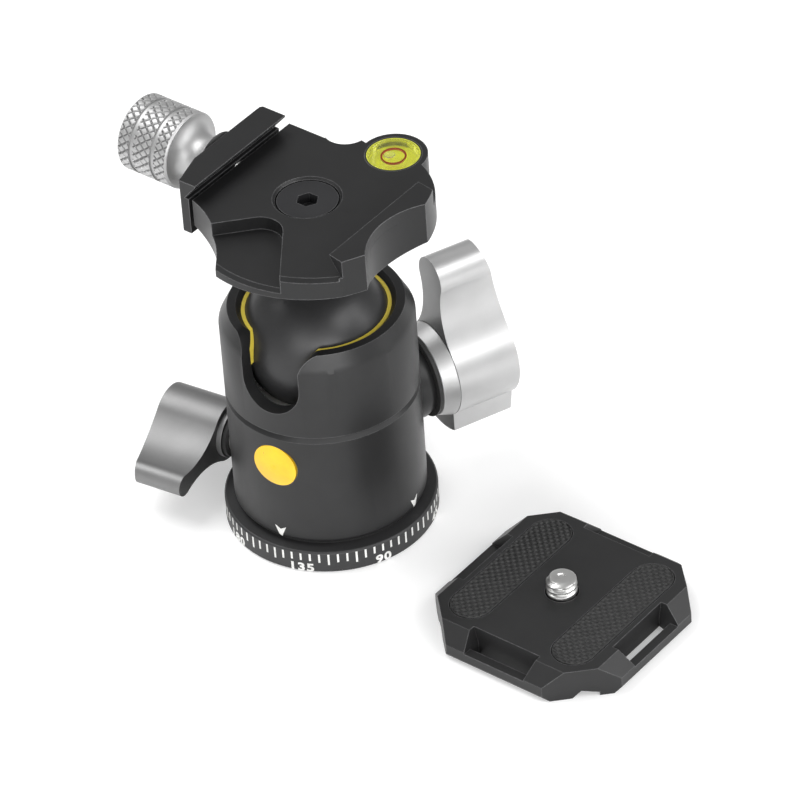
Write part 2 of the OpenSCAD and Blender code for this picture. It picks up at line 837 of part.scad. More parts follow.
// Plan of the front pocket: a round corner between two slanted sides
module pocket_plan(r) {
    left = [-r * sin(pocket_left), r * cos(pocket_left)];
    right = [r * sin(pocket_right), r * cos(pocket_right)];
    translate([-pocket_x, -pocket_y]) union() {
        circle(r = r);
        polygon([left, left - far * [cos(pocket_left), sin(pocket_left)], [0, -2 * far],
            right + far * [cos(pocket_right), -sin(pocket_right)], right]);
    }
}

// Section of the channel between the jaws, seen from the front
module channel_plan(lip, floor_z) {
    polygon([[-far, floor_z], [lip + under_in, floor_z], [lip, jaw_top - lip_t],
        [lip, jaw_top + over], [-far, jaw_top + over]]);
}

module along_y() {
    rotate([90, 0, 0]) linear_extrude(height = 2 * far, center = true) children();
}

module body_dish() {
    slope = under_h / (under_out - under_r);
    rotate_extrude() polygon([[0, body_z], [under_r, body_z],
        [far, body_z + slope * (far - under_r)], [far, jaw_top + tall], [0, jaw_top + tall]]);
}

// Chamfer round the front arc, below the level z
module nose_edge(z) {
    translate([nose_x, nose_y, z]) rotate_extrude() polygon([[nose_r - bed_edge, 0],
        [nose_r + over, 0], [nose_r + over, -bed_edge - over]]);
}

module clamp_body() {
    color([0.17, 0.17, 0.18]) difference() {
        intersection() {
            translate([0, 0, body_z]) linear_extrude(height = body_t + jaw_h) body_plan();
            body_dish();
        }
        along_y() channel_plan(lip_x, bed_z);
        translate([lip_x, fixed_back, bed_z]) rotate([0, 0, -back_slant])
            translate([-far, 0, 0]) cube([2 * far, far, far]);
        translate([tooth_x, -tooth_y, bed_z]) rotate([0, 0, -tooth_slant])
            translate([-far, -far, 0]) cube([far, far, far]);
        translate([0, 0, floor_z]) linear_extrude(height = far) pocket_plan(pocket_r);
        intersection() {
            nose_edge(bed_z);
            translate([0, -far, body_z]) cube([lip_x + under_in, far, body_t]);
        }
        intersection() {
            nose_edge(floor_z);
            translate([0, 0, body_z]) linear_extrude(height = body_t) pocket_plan(pocket_r);
        }
        rod(body_z - over, bed_z, bolt_r + seat_gap);
        translate([0, 0, bolt_top - head_rim - cone_h - seat_gap])
            cylinder(h = cone_h + run_gap, r1 = bolt_r + run_gap, r2 = sink_r - run_gap);
        rod(bolt_top - head_rim - seat_gap, bed_z + over, sink_r);
        translate([0, 0, bed_z - sink_edge])
            cylinder(h = sink_edge + over, r1 = sink_r, r2 = sink_r + sink_edge + over);
        translate([level_x, level_y, 0]) rod(bed_z - level_d, bed_z + over, level_r);
        to_screw() rod(screw_in, far, screw_r);
        for (s = [-1, 1]) to_pin(s) rod(screw_in, far, pin_r + run_gap);
    }
}

module to_screw() {
    translate([0, screw_y, screw_z]) rotate([0, -90, 0]) children();
}

module to_pin(side) {
    translate([0, side * pin_y, 0]) to_screw() children();
}

module level_cup() {
    color([0.75, 0.86, 0.15]) translate([level_x, level_y, 0]) difference() {
        rod(bed_z - level_d, bed_z, level_r);
        rod(bed_z - level_d + level_floor, bed_z + over, level_r - level_t);
    }
}

module level_fluid() {
    top = bed_z - glass_t;
    color([0.8, 0.9, 0.2]) translate([level_x, level_y, 0]) difference() {
        rod(bed_z - level_d + level_floor, top, level_r - level_t);
        translate([0, 0, top - mark_w]) rod(0, mark_w + over, mark_r);
    }
}

module level_mark() {
    top = bed_z - glass_t;
    color([0.85, 0.25, 0.1]) translate([level_x, level_y, 0])
        ring(top - mark_w, top, mark_r, mark_r - mark_w);
}

module level_bubble() {
    top = bed_z - glass_t;
    color([0.93, 0.96, 0.8]) translate([level_x - bubble_off, level_y, 0])
        rod(top - mark_w, top, bubble_r);
}

module level_glass() {
    inner = level_r - level_t;
    dome = (inner * inner + glass_dome * glass_dome) / (2 * glass_dome);
    color([0.85, 0.92, 0.5]) translate([level_x, level_y, 0]) intersection() {
        rod(bed_z - glass_t, bed_z + glass_dome, inner);
        translate([0, 0, bed_z + glass_dome - dome]) sphere(r = dome, $fn = 128);
    }
}

module clamp_stud() {
    color([0.7, 0.71, 0.73]) to_screw() rod(screw_in, stud_out, screw_r);
}

module clamp_jaw() {
    color([0.17, 0.17, 0.18]) difference() {
        intersection() {
            along_y() polygon([[-jaw_out, body_z], [-jaw_in, body_z], [-jaw_in, bed_z],
                [-lip_move - under_in, bed_z], [-lip_move, jaw_top - lip_t],
                [-lip_move, jaw_top], [-jaw_out + jaw_edge, jaw_top],
                [-jaw_out, jaw_top - jaw_edge]]);
            translate([0, 0, body_z - over]) linear_extrude(height = tall) polygon([
                [-jaw_out, -jaw_front + jaw_cut_y], [-jaw_out + jaw_cut_x, -jaw_front],
                [0, -jaw_front], [0, jaw_back], [-jaw_out + jaw_cut_back, jaw_back],
                [-jaw_out, jaw_back - jaw_cut_back]]);
        }
        to_screw() rod(0, far, screw_r + seat_gap);
        for (s = [-1, 1]) to_pin(s) rod(0, jaw_out - jaw_edge, pin_r);
    }
}

module guide_pin_front() {
    color([0.7, 0.71, 0.73]) to_pin(-1) rod(wall_x - pin_in + over, jaw_out - jaw_edge, pin_r);
}

module guide_pin_back() {
    color([0.7, 0.71, 0.73]) to_pin(1) rod(wall_x - pin_in + over, jaw_out - jaw_edge, pin_r);
}

module thrust_washer() {
    color([0.85, 0.85, 0.82]) to_screw() ring(jaw_out, grip_in, bell_r, screw_r + seat_gap);
}

module clamp_knob() {
    scoop = (pow(bell_l, 2) + pow(grip_r - grip_edge - bell_r, 2)) / (2 * bell_l);
    color([0.85, 0.86, 0.88]) to_screw() difference() {
        rotate_extrude() difference() {
            polygon([[0, grip_in], [bell_r, grip_in], [bell_r, grip_in], [grip_r - grip_edge, grip_in],
                [grip_r - grip_edge, grip_rim], [grip_r, grip_rim + grip_edge],
                [grip_r, grip_out - band_b - band_w], [grip_r - band_d, grip_out - band_b - band_w],
                [grip_r - band_d, grip_out - band_b], [grip_r, grip_out - band_b],
                [grip_r, grip_out - band_a - band_w], [grip_r - band_d, grip_out - band_a - band_w],
                [grip_r - band_d, grip_out - band_a], [grip_r, grip_out - band_a],
                [grip_r, grip_out - grip_edge], [grip_r - grip_edge, grip_out], [0, grip_out]]);
            translate([bell_r + scoop, grip_rim - bell_l]) circle(r = scoop);
        }
        rod(grip_in - over, grip_out - grip_wall, screw_r + run_gap);
    }
}

module to_plate() {
    translate([plate_x, -plate_y, 0]) children();
}

module edge_plan() {
    polygon([[-foot_half, 0], [foot_half, 0], [rim_half, rim_low], [rim_half, rim_high],
        [top_half, plate_t], [-top_half, plate_t], [-rim_half, rim_high], [-rim_half, rim_low]]);
}

// Strap slot with its pocket, on the side towards +Y
module strap_cut() {
    translate([-slot_half, slot_in, -over]) cube([2 * slot_half, slot_w, plate_t + 2 * over]);
    translate([0, slot_in, 0]) rotate([-90, 0, 0]) linear_extrude(height = rim_half) polygon([
        [-slot_half, -slot_shelf], [slot_half, -slot_shelf],
        [slot_half + slot_end, -plate_t - over], [-slot_half - slot_end, -plate_t - over]]);
}

module pad_plan(r) {
    for (s = [-1, 1]) translate([0, s * (pad_half - pad_r)]) circle(r = r);
    translate([-r, pad_r - pad_half]) square([2 * r, 2 * (pad_half - pad_r)]);
}

module plate_body() {
    color([0.15, 0.15, 0.16]) to_plate() difference() {
        intersection() {
            rotate([90, 0, 0]) linear_extrude(height = plate_far, center = true) edge_plan();
            rotate([90, 0, 90]) linear_extrude(height = plate_far, center = true) edge_plan();
            rotate([0, 0, 45]) translate([-corner_d, -corner_d, -over])
                cube([2 * corner_d, 2 * corner_d, plate_t + 2 * over]);
        }
        for (a = [0:90:270]) rotate([0, 0, a]) strap_cut();
        for (s = [-1, 1]) rotate([90, 0, 0]) linear_extrude(height = plate_far, center = true)
            polygon([[s * rail_half, -over], [s * rail_half, 0],
                [s * (rail_half + rail_slope), rail_d],
                [s * (rail_half + rail_slope + rail_gap), rail_d / 2],
                [s * (rail_half + rail_slope + rail_gap), -over]]);
        for (s = [-1, 1]) translate([s * pad_x, 0, plate_t - pad_in])
            linear_extrude(height = pad_in + over) pad_plan(pad_r + run_gap);
        rod(-over, cam_sink + cam_head_t + clip_t + seat_gap, cam_head_r + seat_gap);
        rod(0, plate_t + over, cam_r + seat_gap);
    }
}

module pad(side) {
    color([0.07, 0.07, 0.07]) to_plate() translate([side * pad_x, 0, plate_t - pad_in])
        linear_extrude(height = pad_in + pad_out) pad_plan(pad_r);
}

module pad_left() {
    pad(-1);
}

module pad_right() {
    pad(1);
}

module camera_screw() {
    top = plate_t + cam_up;
    color([0.86, 0.87, 0.89]) to_plate() difference() {
        rotate_extrude() polygon([[0, cam_sink], [cam_head_r, cam_sink],
            [cam_head_r, cam_sink + cam_head_t], [cam_neck_r, cam_sink + cam_head_t],
            [cam_neck_r, plate_t], [cam_r, plate_t], [cam_r, top - cam_edge],
            [cam_r - cam_edge, top], [0, top]]);
        translate([-cam_head_r - over, -coin_w / 2, 0])
            cube([2 * (cam_head_r + over), coin_w, cam_sink + coin_d]);
    }
}

module screw_clip() {
    z = cam_sink + cam_head_t;
    color([0.6, 0.6, 0.62]) to_plate() ring(z, z + clip_t, clip_r, cam_neck_r);
}

scale_ring();
base_hub();
base_spigot();
thread_bush();
pan_shim();
keeper_ring();
casing();
ball_liner();
press_block();
main_boss();
main_rubber();
pan_sleeve();
pan_ring();
badge();
ball_cup();
ball();
clamp_bolt();
main_screw();
main_flange();
main_knob();
main_cap();
brake_tip();
pan_screw();
pan_collar();
pan_knob();
pan_cap();
clamp_body();
level_cup();
level_fluid();
level_mark();
level_bubble();
level_glass();
clamp_stud();
clamp_jaw();
guide_pin_front();
guide_pin_back();
thrust_washer();
clamp_knob();
plate_body();
pad_left();
pad_right();
camera_screw();
screw_clip();
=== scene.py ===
"""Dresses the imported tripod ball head: finishes, threads, knurls, degree scale, lights and camera.

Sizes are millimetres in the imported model's own frame, Z up, with the origin under the base on the
pan axis. Every mesh is worked out in millimetres with numpy and is scaled to metres when it is
made, so its object stays at the origin.
"""

from __future__ import annotations

import logging
import math
from dataclasses import dataclass
from enum import Enum
from typing import Callable, Optional

import bpy
import numpy as np
from mathutils import Matrix, Vector


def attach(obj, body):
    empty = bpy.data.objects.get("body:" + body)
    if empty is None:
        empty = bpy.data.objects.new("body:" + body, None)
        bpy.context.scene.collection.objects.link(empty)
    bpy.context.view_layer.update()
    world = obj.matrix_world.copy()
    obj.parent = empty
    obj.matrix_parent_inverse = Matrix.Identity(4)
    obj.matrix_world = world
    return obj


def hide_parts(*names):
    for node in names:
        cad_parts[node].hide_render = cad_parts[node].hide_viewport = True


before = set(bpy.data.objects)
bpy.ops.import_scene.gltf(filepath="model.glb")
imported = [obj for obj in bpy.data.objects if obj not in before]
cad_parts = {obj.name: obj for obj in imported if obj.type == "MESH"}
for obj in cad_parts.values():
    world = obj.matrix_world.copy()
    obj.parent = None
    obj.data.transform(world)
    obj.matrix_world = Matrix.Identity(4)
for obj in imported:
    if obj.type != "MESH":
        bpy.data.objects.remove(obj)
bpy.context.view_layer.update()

LOG = logging.getLogger("ball_head")

Array = np.ndarray
Pair = tuple[float, float]
Triple = tuple[float, float, float]
Shape = tuple[Array, list[Array]]
Swell = Callable[[Array, Array, Array], Array]
Socket = bpy.types.NodeSocket

# Metres in a millimetre
MM = 0.001
# Hair's breadth that keeps a new face out of the face beside it
HAIR = 0.01
# Points round a large turned piece, and round a small one
ROUND, SMALL_ROUND = 96, 40
# Directions in which the caps of the two wing knobs face
MAIN_OUT, PAN_OUT = (0.3795, 0.9252, 0), (-0.991, -0.134, 0)
# Place of the level, sideways and lengthways
LEVEL_AT = (5.5, 21.0)


# Shapes as arrays


def put_mesh(name: str, shape: Shape, smooth: bool = True) -> bpy.types.Object:
    """Makes an object from points in millimetres and sets of faces of equal size.

    Args:
        name: Name of the object and its mesh.
        shape: Points (n, 3) and arrays of corner indices, one row per face.
        smooth: Whether the faces are shaded smooth.

    Returns:
        The linked object, at the origin, with its place in its mesh.
    """
    points, faces = shape
    corners = np.concatenate([part.ravel() for part in faces]).astype(np.int32)
    sizes = np.concatenate([np.full(len(part), part.shape[1]) for part in faces])
    starts = np.concatenate([[0], np.cumsum(sizes)[:-1]]).astype(np.int32)
    mesh = bpy.data.meshes.new(name)
    mesh.vertices.add(len(points))
    mesh.vertices.foreach_set("co", (points * MM).astype(np.float32).ravel())
    mesh.loops.add(len(corners))
    mesh.loops.foreach_set("vertex_index", corners)
    mesh.polygons.add(len(sizes))
    mesh.polygons.foreach_set("loop_start", starts)
    mesh.polygons.foreach_set("use_smooth", np.full(len(sizes), smooth))
    mesh.update(calc_edges=True)
    mesh.validate()
    made = bpy.data.objects.new(name, mesh)
    bpy.context.scene.collection.objects.link(made)
    return made


def join_shapes(shapes: list[Shape]) -> Shape:
    """Puts several shapes into one, with the face indices moved on.

    Args:
        shapes: The shapes to join, each with its own indices from zero.

    Returns:
        One shape that holds them all.
    """
    shifts = np.cumsum([0] + [len(points) for points, _ in shapes[:-1]])
    points = np.concatenate([points for points, _ in shapes])
    faces = [part + shift for (_, parts), shift in zip(shapes, shifts) for part in parts]
    return points, faces


def moved(shape: Shape, x: float, y: float, z: float = 0) -> Shape:
    """Moves a shape: its points plus (x, y, z)."""
    return shape[0] + np.array([x, y, z]), shape[1]


def round_axis(r: Array, angle: Array, z: Array) -> Array:
    """Points at a radius, an angle and a height: (r cos a, r sin a, z), on a new last axis."""
    return np.stack(np.broadcast_arrays(r * np.cos(angle), r * np.sin(angle), z), -1)


def grid_faces(rows: int, columns: int, close_rows: bool = False) -> Array:
    """Quads of a grid whose columns run round, row by row.

    Args:
        rows: Number of rows of points.
        columns: Number of points in a row; the last joins the first.
        close_rows: Whether the last row joins the first.

    Returns:
        Corner indices, shape (faces, 4), turned so that they face outwards.
    """
    i = np.arange(rows if close_rows else rows - 1)[:, None]
    j = np.arange(columns)[None, :]
    up, on = (i + 1) % rows, (j + 1) % columns
    quads = np.stack([i * columns + j, i * columns + on, up * columns + on, up * columns + j], 2)
    return quads.reshape(-1, 4)


def revolve(profile: Array, count: int, swell: Optional[Swell] = None) -> Shape:
    """Carries a profile round the Z axis.

    A point is (r cos a, r sin a, z): r and z come from the profile, a is spread evenly over a full
    turn, and swell adds to r. A profile whose ends lie on the axis gives a closed body with two
    poles; any other is a closed loop and gives a ring.

    Args:
        profile: Rows of (r, z), anticlockwise in the plane of r and z.
        count: Points round the axis.
        swell: Function of angle (1, count), r (rows, 1) and z (rows, 1), in millimetres.

    Returns:
        The closed surface.
    """
    angle = (np.arange(count) * 2 * np.pi / count)[None, :]
    poles = profile[0, 0] == 0 and profile[-1, 0] == 0
    wall = profile[1:-1] if poles else profile
    r, z = wall[:, :1], wall[:, 1:]
    points = round_axis(r + (swell(angle, r, z) if swell else 0), angle, z).reshape(-1, 3)
    faces = [grid_faces(len(wall), count, close_rows=not poles)]
    if poles:
        ends = np.array([[0, 0, profile[0, 1]], [0, 0, profile[-1, 1]]])
        here = np.arange(count)
        on = (here + 1) % count
        last = (len(wall) - 1) * count
        low = np.stack([np.full(count, len(points)), on, here], 1)
        high = np.stack([np.full(count, len(points) + 1), last + here, last + on], 1)
        points = np.concatenate([points, ends])
        faces += [low, high]
    return points, faces


def prism(plan: Array, low: float, high: float) -> Shape:
    """Raises a plan into a closed body: each of its points stands at both heights.

    Args:
        plan: Corner points (n, 2), anticlockwise.
        low: Height of the underside.
        high: Height of the top.

    Returns:
        The body, with one face at each end and a quad at each side of the plan.
    """
    count = len(plan)
    here = np.arange(count)
    on = (here + 1) % count
    level = np.ones((count, 1))
    points = np.concatenate([np.hstack([plan, level * low]), np.hstack([plan, level * high])])
    sides = np.stack([here, on, on + count, here + count], 1)
    return points, [sides, here[::-1][None, :], (here + count)[None, :]]


def slab(outer: Array, inner: Array, turned: bool = False) -> Shape:
    """Closes two equal grids of points into a thin solid, with a quad at each side of their rim.

    Args:
        outer: Points of the outer grid, shape (rows, columns, 3).
        inner: Points of the inner grid.
        turned: Whether the faces are turned over.

    Returns:
        The solid.
    """
    rows, columns = outer.shape[:2]
    i, j = np.meshgrid(np.arange(rows - 1), np.arange(columns - 1), indexing="ij")
    here = (i * columns + j).ravel()
    quads = np.stack([here, here + 1, here + columns + 1, here + columns], 1)
    last = (rows - 1) * columns
    rim = np.concatenate([np.arange(columns), np.arange(1, rows) * columns + columns - 1,
                          last + np.arange(columns - 1)[::-1], np.arange(1, rows - 1)[::-1] * columns])
    on = np.roll(rim, -1)
    count = rows * columns
    sides = np.stack([rim, rim + count, on + count, on], 1)
    faces = np.concatenate([quads, quads[:, ::-1] + count, sides])
    points = np.concatenate([outer.reshape(-1, 3), inner.reshape(-1, 3)])
    return points, [faces[:, ::-1] if turned else faces]


def arc(centre: Pair, radius: float, start: float, end: float, count: int) -> Array:
    """Points on a circle, from one angle to another: centre plus radius times (cos a, sin a).

    Args:
        centre: Centre of the circle.
        radius: Its radius.
        start: First angle in degrees.
        end: Last angle in degrees.
        count: Number of points.

    Returns:
        The points, shape (count, 2).
    """
    turn = np.radians(np.linspace(start, end, count))
    return np.array(centre) + radius * np.stack([np.cos(turn), np.sin(turn)], 1)


def dense(profile: Array, step: float) -> Array:
    """Adds points along each straight of a profile, so that no two are further apart than step."""
    parts = []
    for here, there in zip(profile[:-1], profile[1:]):
        count = max(1, int(math.ceil(float(np.hypot(*(there - here))) / step)))
        parts.append(here + (there - here) * np.arange(count)[:, None] / count)
    return np.concatenate(parts + [profile[-1:]])


def saw(turns: Array) -> Array:
    """Triangle wave of period 1: 0 at whole numbers, 1 halfway between them."""
    return 1 - np.abs(2 * (turns % 1) - 1)


@dataclass(frozen=True)
class Thread:
    """A single-start V thread with flat crests.

    Attributes:
        pitch: Rise in one turn.
        depth: Depth of the V.
        low: Height where the thread starts.
        high: Height where it ends.
        crest: Share of the pitch that stays flat.
        inner: Whether the thread is cut into a bore.
        run_out: Share of the pitch over which the V fades at each end.
    """

    pitch: float
    depth: float
    low: float
    high: float
    crest: float = 0.2
    inner: bool = False
    run_out: float = 0.4

    def swell(self, angle: Array, r: Array, z: Array) -> Array:
        """Radial change: a triangle wave of height less angle, faded out at both ends.

        Args:
            angle: Angles round the axis, in radians.
            r: Radii of the profile's rows; not used.
            z: Heights of the profile's rows.

        Returns:
            The change of radius in millimetres.
        """
        wave = saw(z / self.pitch - angle / (2 * np.pi))
        cut = np.clip(wave * (1 + self.crest) - self.crest, 0, 1)
        ends = np.clip(np.minimum(z - self.low, self.high - z) / (self.run_out * self.pitch), 0, 1)
        return (1 if self.inner else -1) * self.depth * cut * ends


# Finishes


def scaled(tone: Triple, factor: float, lift: float = 0.0) -> Triple:
    """A colour made darker or lighter: each part times factor plus lift, and 1 at most."""
    return tuple(min(1.0, part * factor + lift) for part in tone)


class Tree:
    """Short calls for the nodes of one material.

    Attributes:
        MIDDLE: Range that holds most values of a noise.
        OCTAVE: Share of each next octave of a noise.
        WORN_REACH: Reach of the mask of rubbed edges with a painted highlight, in millimetres.
        WORN_COSINES: Cosines at which that mask starts and is full.
        GROOVE_REACH: Reach of the mask of painted shade in grooves, in millimetres.
        GROOVE_SKY: Shares of open sky at which that mask starts and is full.
        END_SQUARES: Squared cosines at which the mask of painted shade on end faces starts and is full.
        END_SHARE: Fullest value of that mask.
    """

    MIDDLE: Pair = (0.3, 0.7)
    OCTAVE: float = 0.55
    WORN_REACH: float = 0.3
    WORN_COSINES: Pair = (0.995, 0.85)
    GROOVE_REACH: float = 0.5
    GROOVE_SKY: Pair = (0.95, 0.35)
    END_SQUARES: Pair = (0.75, 0.97)
    END_SHARE: float = 0.75

    def __init__(self, name: str) -> None:
        """Starts a material that holds only its shader and output.

        Args:
            name: Name of the material.
        """
        self.material = bpy.data.materials.new(name)
        self.material.use_nodes = True
        self.nodes = self.material.node_tree.nodes
        self.nodes.clear()
        self.shader = self.nodes.new("ShaderNodeBsdfPrincipled")
        output = self.nodes.new("ShaderNodeOutputMaterial")
        self.link(self.shader.outputs[0], output.inputs["Surface"])
        self.spot = self.nodes.new("ShaderNodeTexCoord").outputs["Object"]

    def link(self, source: Socket, target: Socket) -> None:
        """Joins two sockets."""
        self.material.node_tree.links.new(source, target)

    def set(self, **values: object) -> None:
        """Sets constants on the shader's own sockets; underscores stand for spaces.

        Args:
            **values: Socket names and their values.
        """
        for key, value in values.items():
            self.shader.inputs[key.replace("_", " ")].default_value = value

    def drive(self, **sources: Socket) -> None:
        """Joins sockets to the shader's own; underscores stand for spaces.

        Args:
            **sources: Names of the shader's sockets, and what drives them.
        """
        for key, source in sources.items():
            self.link(source, self.shader.inputs[key.replace("_", " ")])

    def noise(self, size: float, detail: float, stretch: Triple = (1, 1, 1)) -> Socket:
        """Fractal noise on object coordinates.

        Args:
            size: Size of its largest features in millimetres.
            detail: Octaves.
            stretch: Scale of the pattern along each axis.

        Returns:
            The noise value, about 0.5 on average.
        """
        spot = self.spot
        if stretch != (1, 1, 1):
            mapping = self.nodes.new("ShaderNodeMapping")
            mapping.inputs["Scale"].default_value = stretch
            self.link(spot, mapping.inputs["Vector"])
            spot = mapping.outputs["Vector"]
        node = self.nodes.new("ShaderNodeTexNoise")
        node.inputs["Scale"].default_value = 1 / (size * MM)
        node.inputs["Detail"].default_value = detail
        node.inputs["Roughness"].default_value = self.OCTAVE
        self.link(spot, node.inputs["Vector"])
        return node.outputs["Fac"]

    def span(self, value: Socket, source: Pair, target: Pair = (0.0, 1.0)) -> Socket:
        """Maps one range of a value to another, clamped.

        Args:
            value: The value to map.
            source: Range that it comes from.
            target: Range that it goes to.

        Returns:
            The mapped value.
        """
        node = self.nodes.new("ShaderNodeMapRange")
        for key, number in zip(("From Min", "From Max", "To Min", "To Max"), source + target):
            node.inputs[key].default_value = number
        self.link(value, node.inputs["Value"])
        return node.outputs["Result"]

    def clouds(self, size: float, detail: float, source: Pair, target: Pair = (0.0, 1.0)) -> Socket:
        """Fractal noise, as noise gives it, mapped from one range to another, as span does."""
        return self.span(self.noise(size, detail), source, target)

    def math(self, kind: str, first: Socket, second: object) -> Socket:
        """One arithmetic step.

        Args:
            kind: The Math node's operation.
            first: First value.
            second: Second value, a socket or a number.

        Returns:
            The result.
        """
        node = self.nodes.new("ShaderNodeMath")
        node.operation = kind
        self.link(first, node.inputs[0])
        if isinstance(second, (int, float)):
            node.inputs[1].default_value = second
        else:
            self.link(second, node.inputs[1])
        return node.outputs[0]

    def blend(self, share: Socket, first: object, second: Triple) -> Socket:
        """Colour between two, by a share.

        Args:
            share: Share of the second colour.
            first: Colour at 0, a socket or a constant.
            second: Colour at 1.

        Returns:
            The mixed colour.
        """
        node = self.nodes.new("ShaderNodeMix")
        node.data_type = "RGBA"
        self.link(share, node.inputs[0])
        if isinstance(first, tuple):
            node.inputs[6].default_value = (*first, 1)
        else:
            self.link(first, node.inputs[6])
        node.inputs[7].default_value = (*second, 1)
        return node.outputs[2]

    def mottle(self, tone: Triple, size: float, dark: float, light: float) -> Socket:
        """Patches of a darker and a lighter tone.

        Args:
            tone: Tone between the two.
            size: Size of the patches in millimetres.
            dark: Factor of the darker tone.
            light: Factor of the lighter tone.

        Returns:
            The colour.
        """
        patches = self.clouds(size, detail=4, source=(0.35, 0.65))
        return self.blend(patches, scaled(tone, dark), scaled(tone, light))

    def worn(self, colour: Socket, share: float, bare: Triple) -> Socket:
        """Paints rubbed, lighter outer edges with a painted highlight: broken streaks where a rounded
        normal turns from the true one.

        Args:
            colour: Colour of the flats.
            share: Share of the rubbing and painted highlight on a sharp edge.
            bare: Colour of rubbed metal, which is also the painted highlight.

        Returns:
            The colour.
        """
        rounded = self.nodes.new("ShaderNodeBevel")
        rounded.samples = 4
        rounded.inputs["Radius"].default_value = self.WORN_REACH * MM
        true = self.nodes.new("ShaderNodeNewGeometry")
        dot = self.nodes.new("ShaderNodeVectorMath")
        dot.operation = "DOT_PRODUCT"
        self.link(rounded.outputs[0], dot.inputs[0])
        self.link(true.outputs["Normal"], dot.inputs[1])
        edge = self.span(dot.outputs["Value"], self.WORN_COSINES)
        streaks = self.clouds(size=1.6, detail=3, source=(0.3, 0.6), target=(0.45, 1.0))
        return self.blend(self.math("MULTIPLY", self.math("MULTIPLY", edge, share), streaks), colour, bare)

    def grooves(self, colour: Socket, share: float, deep: Triple) -> Socket:
        """Paints shade into grooves and hollows, by how much of the near surroundings hides the sky.

        Args:
            colour: Colour of the open faces.
            share: Share of the painted shade at the bottom of a groove.
            deep: Colour of that painted shade.

        Returns:
            The colour.
        """
        shelter = self.nodes.new("ShaderNodeAmbientOcclusion")
        shelter.samples = 6
        shelter.only_local = True
        shelter.inputs["Distance"].default_value = self.GROOVE_REACH * MM
        shade_mask = self.span(shelter.outputs["AO"], self.GROOVE_SKY)
        return self.blend(self.math("MULTIPLY", shade_mask, share), colour, deep)

    def ends(self, colour: Socket, direction: Triple, tone: Triple) -> Socket:
        """Paints shade on the faces square to a direction, by the squared cosine between it and the normal.

        Args:
            colour: Colour of the other faces.
            direction: A unit vector.
            tone: Colour of the painted shade on those faces.

        Returns:
            The colour.
        """
        coordinates, dot = self.nodes.new("ShaderNodeTexCoord"), self.nodes.new("ShaderNodeVectorMath")
        dot.operation = "DOT_PRODUCT"
        dot.inputs[1].default_value = direction
        self.link(coordinates.outputs["Normal"], dot.inputs[0])
        square = self.math("MULTIPLY", dot.outputs["Value"], dot.outputs["Value"])
        return self.blend(self.span(square, self.END_SQUARES, (0.0, self.END_SHARE)), colour, tone)

    def radius(self, x: float, y: float) -> Socket:
        """Distance from an upright axis.

        Args:
            x: Place of the axis in millimetres.
            y: Place of the axis in millimetres.

        Returns:
            The distance in metres.
        """
        shift, flat, length = (self.nodes.new("ShaderNodeVectorMath") for _ in range(3))
        shift.operation, flat.operation, length.operation = "SUBTRACT", "MULTIPLY", "LENGTH"
        shift.inputs[1].default_value = (x * MM, y * MM, 0)
        flat.inputs[1].default_value = (1, 1, 0)
        self.link(self.spot, shift.inputs[0])
        self.link(shift.outputs[0], flat.inputs[0])
        self.link(flat.outputs[0], length.inputs[0])
        return length.outputs["Value"]

    def height(self) -> Socket:
        """Height above the ground in metres."""
        parts = self.nodes.new("ShaderNodeSeparateXYZ")
        self.link(self.spot, parts.inputs[0])
        return parts.outputs["Z"]

    def bump(self, height: Socket, depth: float, strength: float = 1.0) -> None:
        """Turns a height into the shader's normal.

        Args:
            height: Height from 0 to 1.
            depth: Depth of a full step in millimetres.
            strength: Share of the effect.
        """
        node = self.nodes.new("ShaderNodeBump")
        node.inputs["Distance"].default_value = depth * MM
        node.inputs["Strength"].default_value = strength
        self.link(height, node.inputs["Height"])
        self.drive(Normal=node.outputs["Normal"])

    def grain(self, size: float, rough: Pair, depth: float, strength: float, source: Pair = MIDDLE) -> None:
        """Lets one fine noise drive both the roughness and the normal.

        Args:
            size: Size of the grain in millimetres.
            rough: Range of the roughness.
            depth: Depth of the grain in millimetres.
            strength: Share of its bump.
            source: Range of the noise that stands for the roughness's range.
        """
        fine = self.noise(size, detail=3)
        self.drive(Roughness=self.span(fine, source, rough))
        self.bump(fine, depth, strength)


